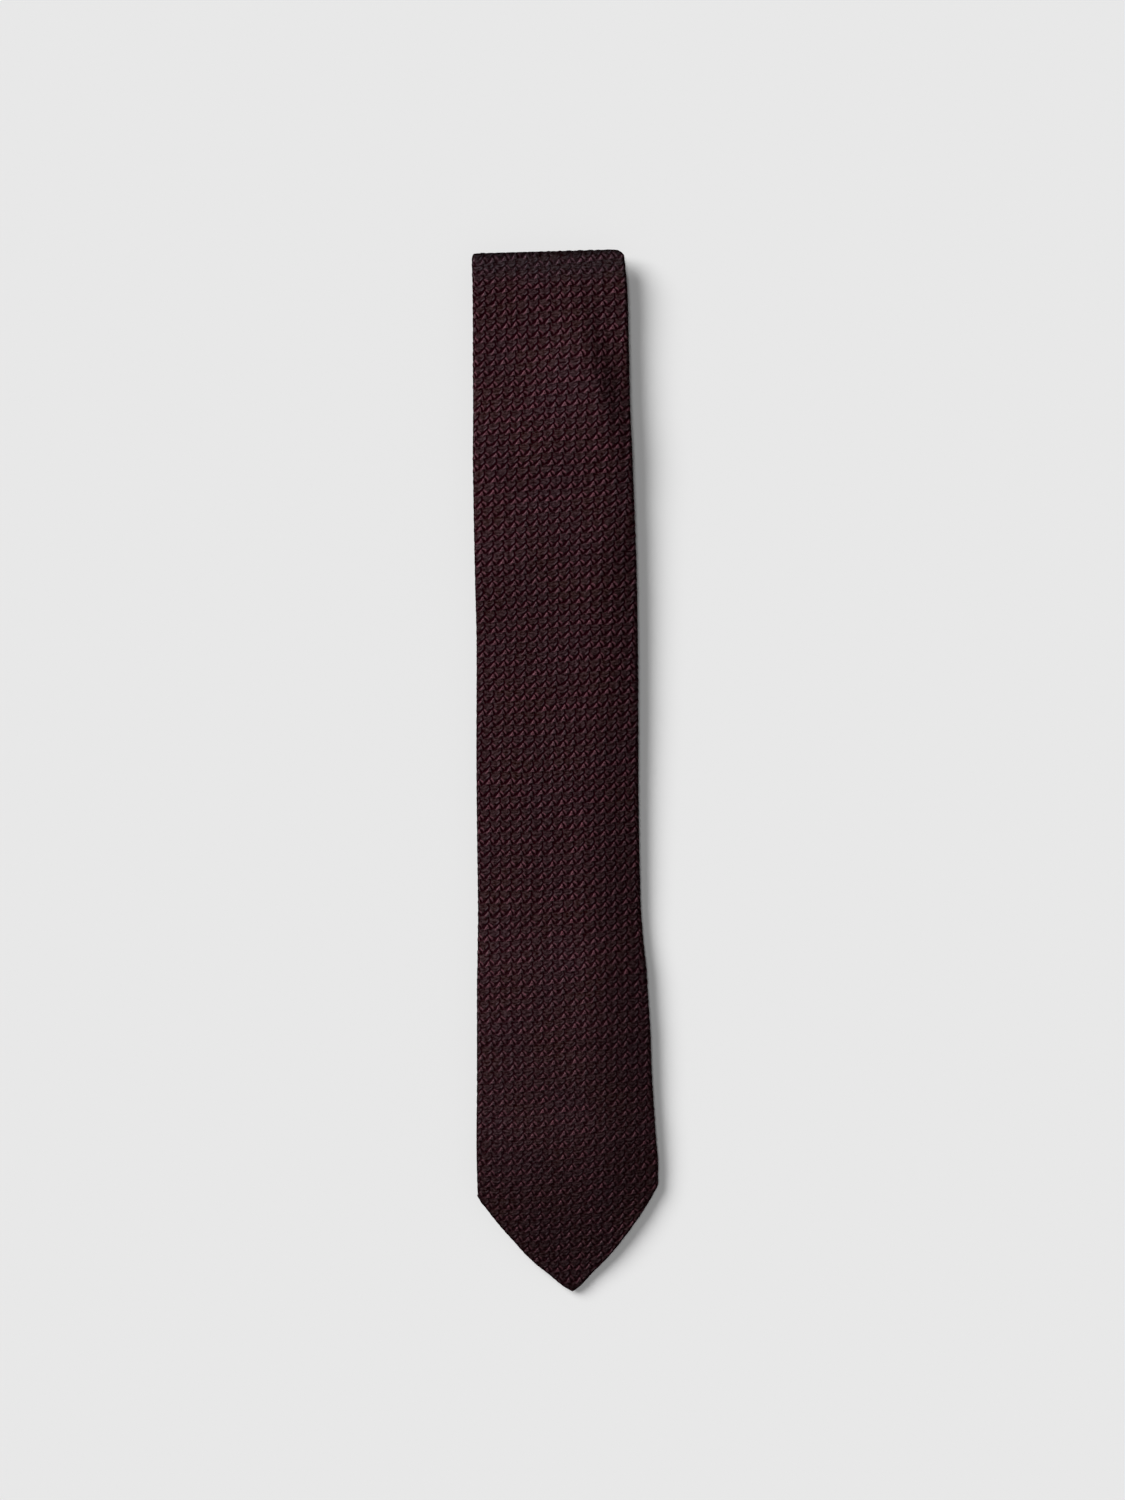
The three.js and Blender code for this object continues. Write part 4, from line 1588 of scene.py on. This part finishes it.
def grow(
    name: str, tree: bpy.types.NodeTree, points: Array, ahead: Array, up: Array, values: dict[str, object]
) -> bpy.types.Object:
    """Runs a stitch group on a row of points and keeps the plain mesh that comes of it.

    Args:
        name: The object's name.
        tree: The group.
        points: The stitches' places in metres.
        ahead: The way each one runs.
        up: The way its top faces.
        values: The group's inputs.

    Returns:
        The object, linked to the scene, without a modifier.
    """
    row = bpy.data.meshes.new(name + "_row")
    row.from_pydata(points.tolist(), [], [])
    for key, vectors in (("ahead", ahead), ("up", up)):
        layer = row.attributes.new(key, "FLOAT_VECTOR", "POINT")
        layer.data.foreach_set("vector", vectors.astype(np.float32).ravel())
    obj = bpy.data.objects.new(name, row)
    bpy.context.scene.collection.objects.link(obj)
    modifier = obj.modifiers.new(name, "NODES")
    modifier.node_group = tree
    for socket in tree.interface.items_tree:
        if socket.in_out == "INPUT" and socket.name in values:
            modifier[socket.identifier] = values[socket.name]
    graph = bpy.context.evaluated_depsgraph_get()
    made = bpy.data.meshes.new_from_object(obj.evaluated_get(graph), depsgraph=graph)
    made.name = name
    obj.modifiers.clear()
    obj.data = made
    bpy.data.meshes.remove(row)
    for key in ("ahead", "up"):
        if key in made.attributes:
            made.attributes.remove(made.attributes[key])
    return obj


@dataclass(frozen=True)
class Row:
    """Where a row of stitches runs on the tie's back.

    It has their places along and across the tie, how far their middles lie off the layer's middle, and the
    way that each of them runs, as its steps along and across the tie.
    """

    name: str
    s: Array | float
    u: Array | float
    off: float
    along: Array | tuple[float, float]


@dataclass
class HandSewing:
    """All that is sewn by hand with silk thread. Sizes are in millimetres, and the slant is in radians."""

    tie: FoldedTie
    material: bpy.types.Material
    thread: float = 0.3
    sunk: float = 0.06
    unevenness: float = 0.12
    slip_length: float = 2.6
    slip_every: float = 9
    slip_slant: float = 0.7
    slip_sunk: float = 0.1
    hem_length: float = 1.8
    hem_every: float = 5
    hem_inside: float = 1.2
    clear_of_seam: float = 3
    clear_of_tack: float = 6
    clear_of_corner: float = 8

    def __post_init__(self) -> None:
        """Makes the groups that stitches and bars grow from."""
        self.stitch = hand_stitches()
        self.bar = wound_bar()

    def sew_row(self, row: Row, tree: bpy.types.NodeTree, sizes: dict[str, object]) -> bpy.types.Object:
        """Sews a row on the tie's back.

        Args:
            row: Where it runs.
            tree: The group that its stitches grow from.
            sizes: The group's own inputs.

        Returns:
            The row's object.
        """
        s, u = (x.ravel() for x in np.broadcast_arrays(*(np.asarray(x, float) for x in (row.s, row.u))))
        half = np.broadcast_to(np.asarray(row.along, float), (*s.shape, 2)) / 2
        points = self.tie.place(s, u, -row.off)
        after = self.tie.place(s + half[:, 0], u + half[:, 1], -row.off)
        before = self.tie.place(s - half[:, 0], u - half[:, 1], -row.off)
        ahead = (after - before) / np.linalg.norm(after - before, axis=1, keepdims=True)
        up = -self.tie.normal(s, u)
        return grow(row.name, tree, to_metres(points), ahead, up, {**sizes, "Thread": self.material})

    def short_stitches(self, row: Row, length: float, slant: float = 0.0) -> bpy.types.Object:
        """Sews a row of short stitches.

        Args:
            row: Where it runs.
            length: How long each stitch is.
            slant: How far each is turned from the row's way.

        Returns:
            The row's object.
        """
        sizes = {
            "Length": length * MM,
            "Thickness": self.thread * MM,
            "Slant": slant,
            "Unevenness": self.unevenness,
            "Seed": len(row.name),
        }
        return self.sew_row(row, self.stitch, sizes)

    def slip_stitches(self) -> bpy.types.Object:
        """Sews the slit of the back shut, from one bar tack to the other.

        Returns:
            The stitches' object.
        """
        tie, size = self.tie, self.tie.size
        past = size.tack_past + self.clear_of_tack
        s = spaced(size.blade.opening + past, tie.length - size.tail.opening - past, self.slip_every)
        from_seam = np.minimum(np.abs(s - tie.first_seam), np.abs(s - tie.second_seam))
        *_, rounded = tie.path(s)
        s = s[(from_seam > self.clear_of_seam) & (rounded == 0)]
        off = size.thick / 2 + self.thread / 2 - self.slip_sunk
        row = Row("slip_stitches", s, 0, off, (1, 0))
        return self.short_stitches(row, self.slip_length, self.slip_slant)

    def hem_stitches(self) -> bpy.types.Object:
        """Sews the hems of both points.

        Returns:
            The stitches' object.
        """
        tie, size = self.tie, self.tie.size
        near = 0.5
        places, outs = [], []
        for point, sign, end in ((size.blade, 1, 0.0), (size.tail, -1, tie.length)):
            inset = self.clear_of_corner
            s = end + sign * spaced(point.hem + inset, point.opening - inset, self.hem_every)
            for side in (-1, 1):
                places.append(s)
                outs.append(side * (tie.flap_edge(s, side) + self.hem_inside))
        s, u = np.concatenate(places), np.concatenate(outs)
        side = np.sign(u)
        rise = (tie.flap_edge(s + near, side) - tie.flap_edge(s - near, side)) * side
        along = np.stack([np.ones_like(s), rise], -1)
        off = size.thick / 2 + self.thread / 2 - self.sunk
        return self.short_stitches(Row("hem_stitches", s, u, off, along), self.hem_length)


@dataclass(frozen=True)
class BarTack:
    """A bar of thread wound side by side over the slit of the back, above a point's opening."""

    node: str
    s: float
    thread: float = 0.36
    turns: float = 27

    def build(self, sewing: HandSewing) -> bpy.types.Object:
        """Winds the bar.

        Args:
            sewing: The hand sewing that it belongs to.

        Returns:
            The bar's object.
        """
        size = sewing.tie.size
        sizes = {
            "Length": size.tack.across * MM,
            "Width": size.tack.band * MM,
            "Depth": size.tack.thick * MM,
            "Thickness": self.thread * MM,
            "Turns": self.turns,
            "Unevenness": 0.0,
            "Seed": 1,
        }
        off = size.thick / 2 + size.tack.thick / 2 - sewing.sunk
        return sewing.sew_row(Row(f"{self.node}_thread", self.s, 0, off, (0, 1)), sewing.bar, sizes)


@dataclass(frozen=True)
class KeeperLoop:
    """The keeper loop: a narrow strip of the same silk, folded to four plies and pressed, and sewn on."""

    tie: FoldedTie
    sections: int = 61
    corner_share: float = 0.25
    weave_offset: float = 0.3
    stitch_length: float = 2.4
    stitch_inside: float = 1.4
    stitches_each: int = 4

    def strip(self, silk: bpy.types.Material) -> bpy.types.Object:
        """Builds the strip, which lies flat across the blade's back.

        Args:
            silk: Its material.

        Returns:
            The strip's object.
        """
        size, band = self.tie.size, self.tie.size.keeper
        middle = -(size.thick / 2 + size.seam_gap + band.thick / 2)
        high, wide = band.thick / 2, band.band / 2
        corner = band.thick * self.corner_share
        left = [(-wide, high - corner), (-wide, corner - high), (corner - wide, -high)]
        right = [(-along, off) for along, off in reversed(left)]
        top = [(wide - corner, high), (corner - wide, high)]
        section = np.array([*left, *right, *top]) + (0, middle)
        u = np.linspace(-band.across / 2, band.across / 2, self.sections)[:, None]
        points = self.tie.place(size.keeper_from_tip + section[None, :, 0], u, section[None, :, 1])
        around = np.concatenate([[0], np.cumsum(np.linalg.norm(np.diff(points[0], axis=0), axis=1))])
        lattice = np.broadcast_arrays(u / GauzeWeave.cell[0], around[None, :] / GauzeWeave.cell[1])
        return loft("keeper_loop_silk", points, np.stack(lattice, -1) + self.weave_offset, silk)

    def stitches(self, sewing: HandSewing) -> bpy.types.Object:
        """Sews both of its ends to the back.

        Args:
            sewing: The hand sewing that they belong to.

        Returns:
            The stitches' object.
        """
        size, band = self.tie.size, self.tie.size.keeper
        offsets = np.linspace(-band.band / 3, band.band / 3, self.stitches_each)
        s = size.keeper_from_tip + np.tile(offsets, 2)
        u = np.repeat([-1, 1], self.stitches_each) * (band.across / 2 - self.stitch_inside)
        off = size.thick / 2 + size.seam_gap + band.thick + sewing.thread / 2 - sewing.sunk
        return sewing.short_stitches(Row("keeper_stitches", s, u, off, (0, 1)), self.stitch_length)


def declare(piece: bpy.types.Object, replaces: str | None = None) -> None:
    """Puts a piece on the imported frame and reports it.

    Args:
        piece: The piece.
        replaces: The node that it stands for, if it stands for one.
    """
    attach(piece, "root")
    if replaces:
        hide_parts(replaces)
    LOG.info("%s: %d faces", piece.name, len(piece.data.polygons))


@dataclass(frozen=True)
class Lamp:
    """A soft lamp: where it hangs in degrees, how wide it looks, and its share of the floor's light."""

    name: str
    azimuth: float
    elevation: float
    spread: float
    share: float


LAMPS = (
    Lamp("window", azimuth=145, elevation=40, spread=38, share=0.665),
    Lamp("overhead", azimuth=145, elevation=85, spread=10, share=0.24),
)


@dataclass(frozen=True)
class Studio:
    """The pale floor, the soft light from the upper left and the camera straight above.

    The camera looks down on the centre, which is in metres. The photograph is photo_rows high, and each row
    is scale_mm wide at level_mm above the floor. The fill is the even light's share of the floor's light.
    """

    centre: tuple[float, float] = (-0.84 * MM, 9.0 * MM)
    scale_mm: float = 0.44395
    level_mm: float = 8.0
    photo_rows: int = 1500
    lens: float = 100
    sensor: float = 36
    paper_half: float = 30.0
    fill: float = 0.095

    def camera(self) -> bpy.types.Object:
        """Hangs the camera.

        Returns:
            The camera.
        """
        data = bpy.data.cameras.new("overhead")
        data.lens = self.lens
        data.sensor_width = self.sensor
        data.sensor_fit = "AUTO"
        distance = self.lens / self.sensor * self.photo_rows * self.scale_mm
        camera = bpy.data.objects.new("overhead", data)
        camera.location = (*self.centre, (distance + self.level_mm) * MM)
        bpy.context.scene.collection.objects.link(camera)
        bpy.context.scene.camera = camera
        return camera

    def lights(self, lamps: Sequence[Lamp]) -> None:
        """Hangs the lamps and the even fill.

        Args:
            lamps: The lamps.
        """
        for lamp in lamps:
            e, a = math.radians(lamp.elevation), math.radians(lamp.azimuth)
            data = bpy.data.lights.new(lamp.name, "SUN")
            data.energy = lamp.share * math.pi / math.sin(e)
            data.angle = math.radians(lamp.spread)
            hung = bpy.data.objects.new(lamp.name, data)
            towards = Vector((math.cos(a) * math.cos(e), math.sin(a) * math.cos(e), math.sin(e)))
            hung.rotation_euler = towards.to_track_quat("Z", "Y").to_euler()
            bpy.context.scene.collection.objects.link(hung)
        world = bpy.data.worlds.new("even_fill")
        world.use_nodes = True
        world.node_tree.nodes["Background"].inputs[0].default_value = (1, 1, 1, 1)
        world.node_tree.nodes["Background"].inputs[1].default_value = self.fill
        bpy.context.scene.world = world
        bpy.context.scene.view_settings.view_transform = "Standard"

    def floor(self) -> bpy.types.Object:
        """Lays the paper.

        Returns:
            The floor's object.
        """
        half = self.paper_half
        points = np.array([(-half, -half, 0), (half, -half, 0), (half, half, 0), (-half, half, 0)])
        floor = make_mesh("paper_floor", points, [(0, 1, 2, 3)], MattPaper().material())
        return floor


def main() -> None:
    """Builds the necktie's looks piece by piece."""
    logging.basicConfig(level=logging.INFO, format="%(name)s: %(message)s")
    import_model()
    studio = Studio()
    studio.camera()
    studio.lights(LAMPS)
    studio.floor()
    size = TieSizes()
    tie = FoldedTie(size)
    weave = GauzeWeave(tie)
    silk = GauzeSilk().material()
    sewing = HandSewing(tie, TwistedThread().material())
    loop = KeeperLoop(tie)
    keeper = loop.strip(silk)
    declare(keeper, "keeper_loop")
    for row in (loop.stitches(sewing), sewing.slip_stitches(), sewing.hem_stitches()):
        declare(row)
    blade_tack = BarTack("blade_bar_tack", size.blade.opening + size.tack_past)
    tail_tack = BarTack("tail_bar_tack", tie.length - size.tail.opening - size.tack_past)
    for tack in (blade_tack, tail_tack):
        declare(tack.build(sewing), tack.node)
    for panel in SilkBody(tie, weave).panels():
        piece = panel.build(silk)
        declare(piece, panel.node)
        LOG.info("%s: cut %.0f x %.0f mm", piece.name, panel.flat[0] / MM, panel.flat[1] / MM)


if __name__ == "__main__":
    main()
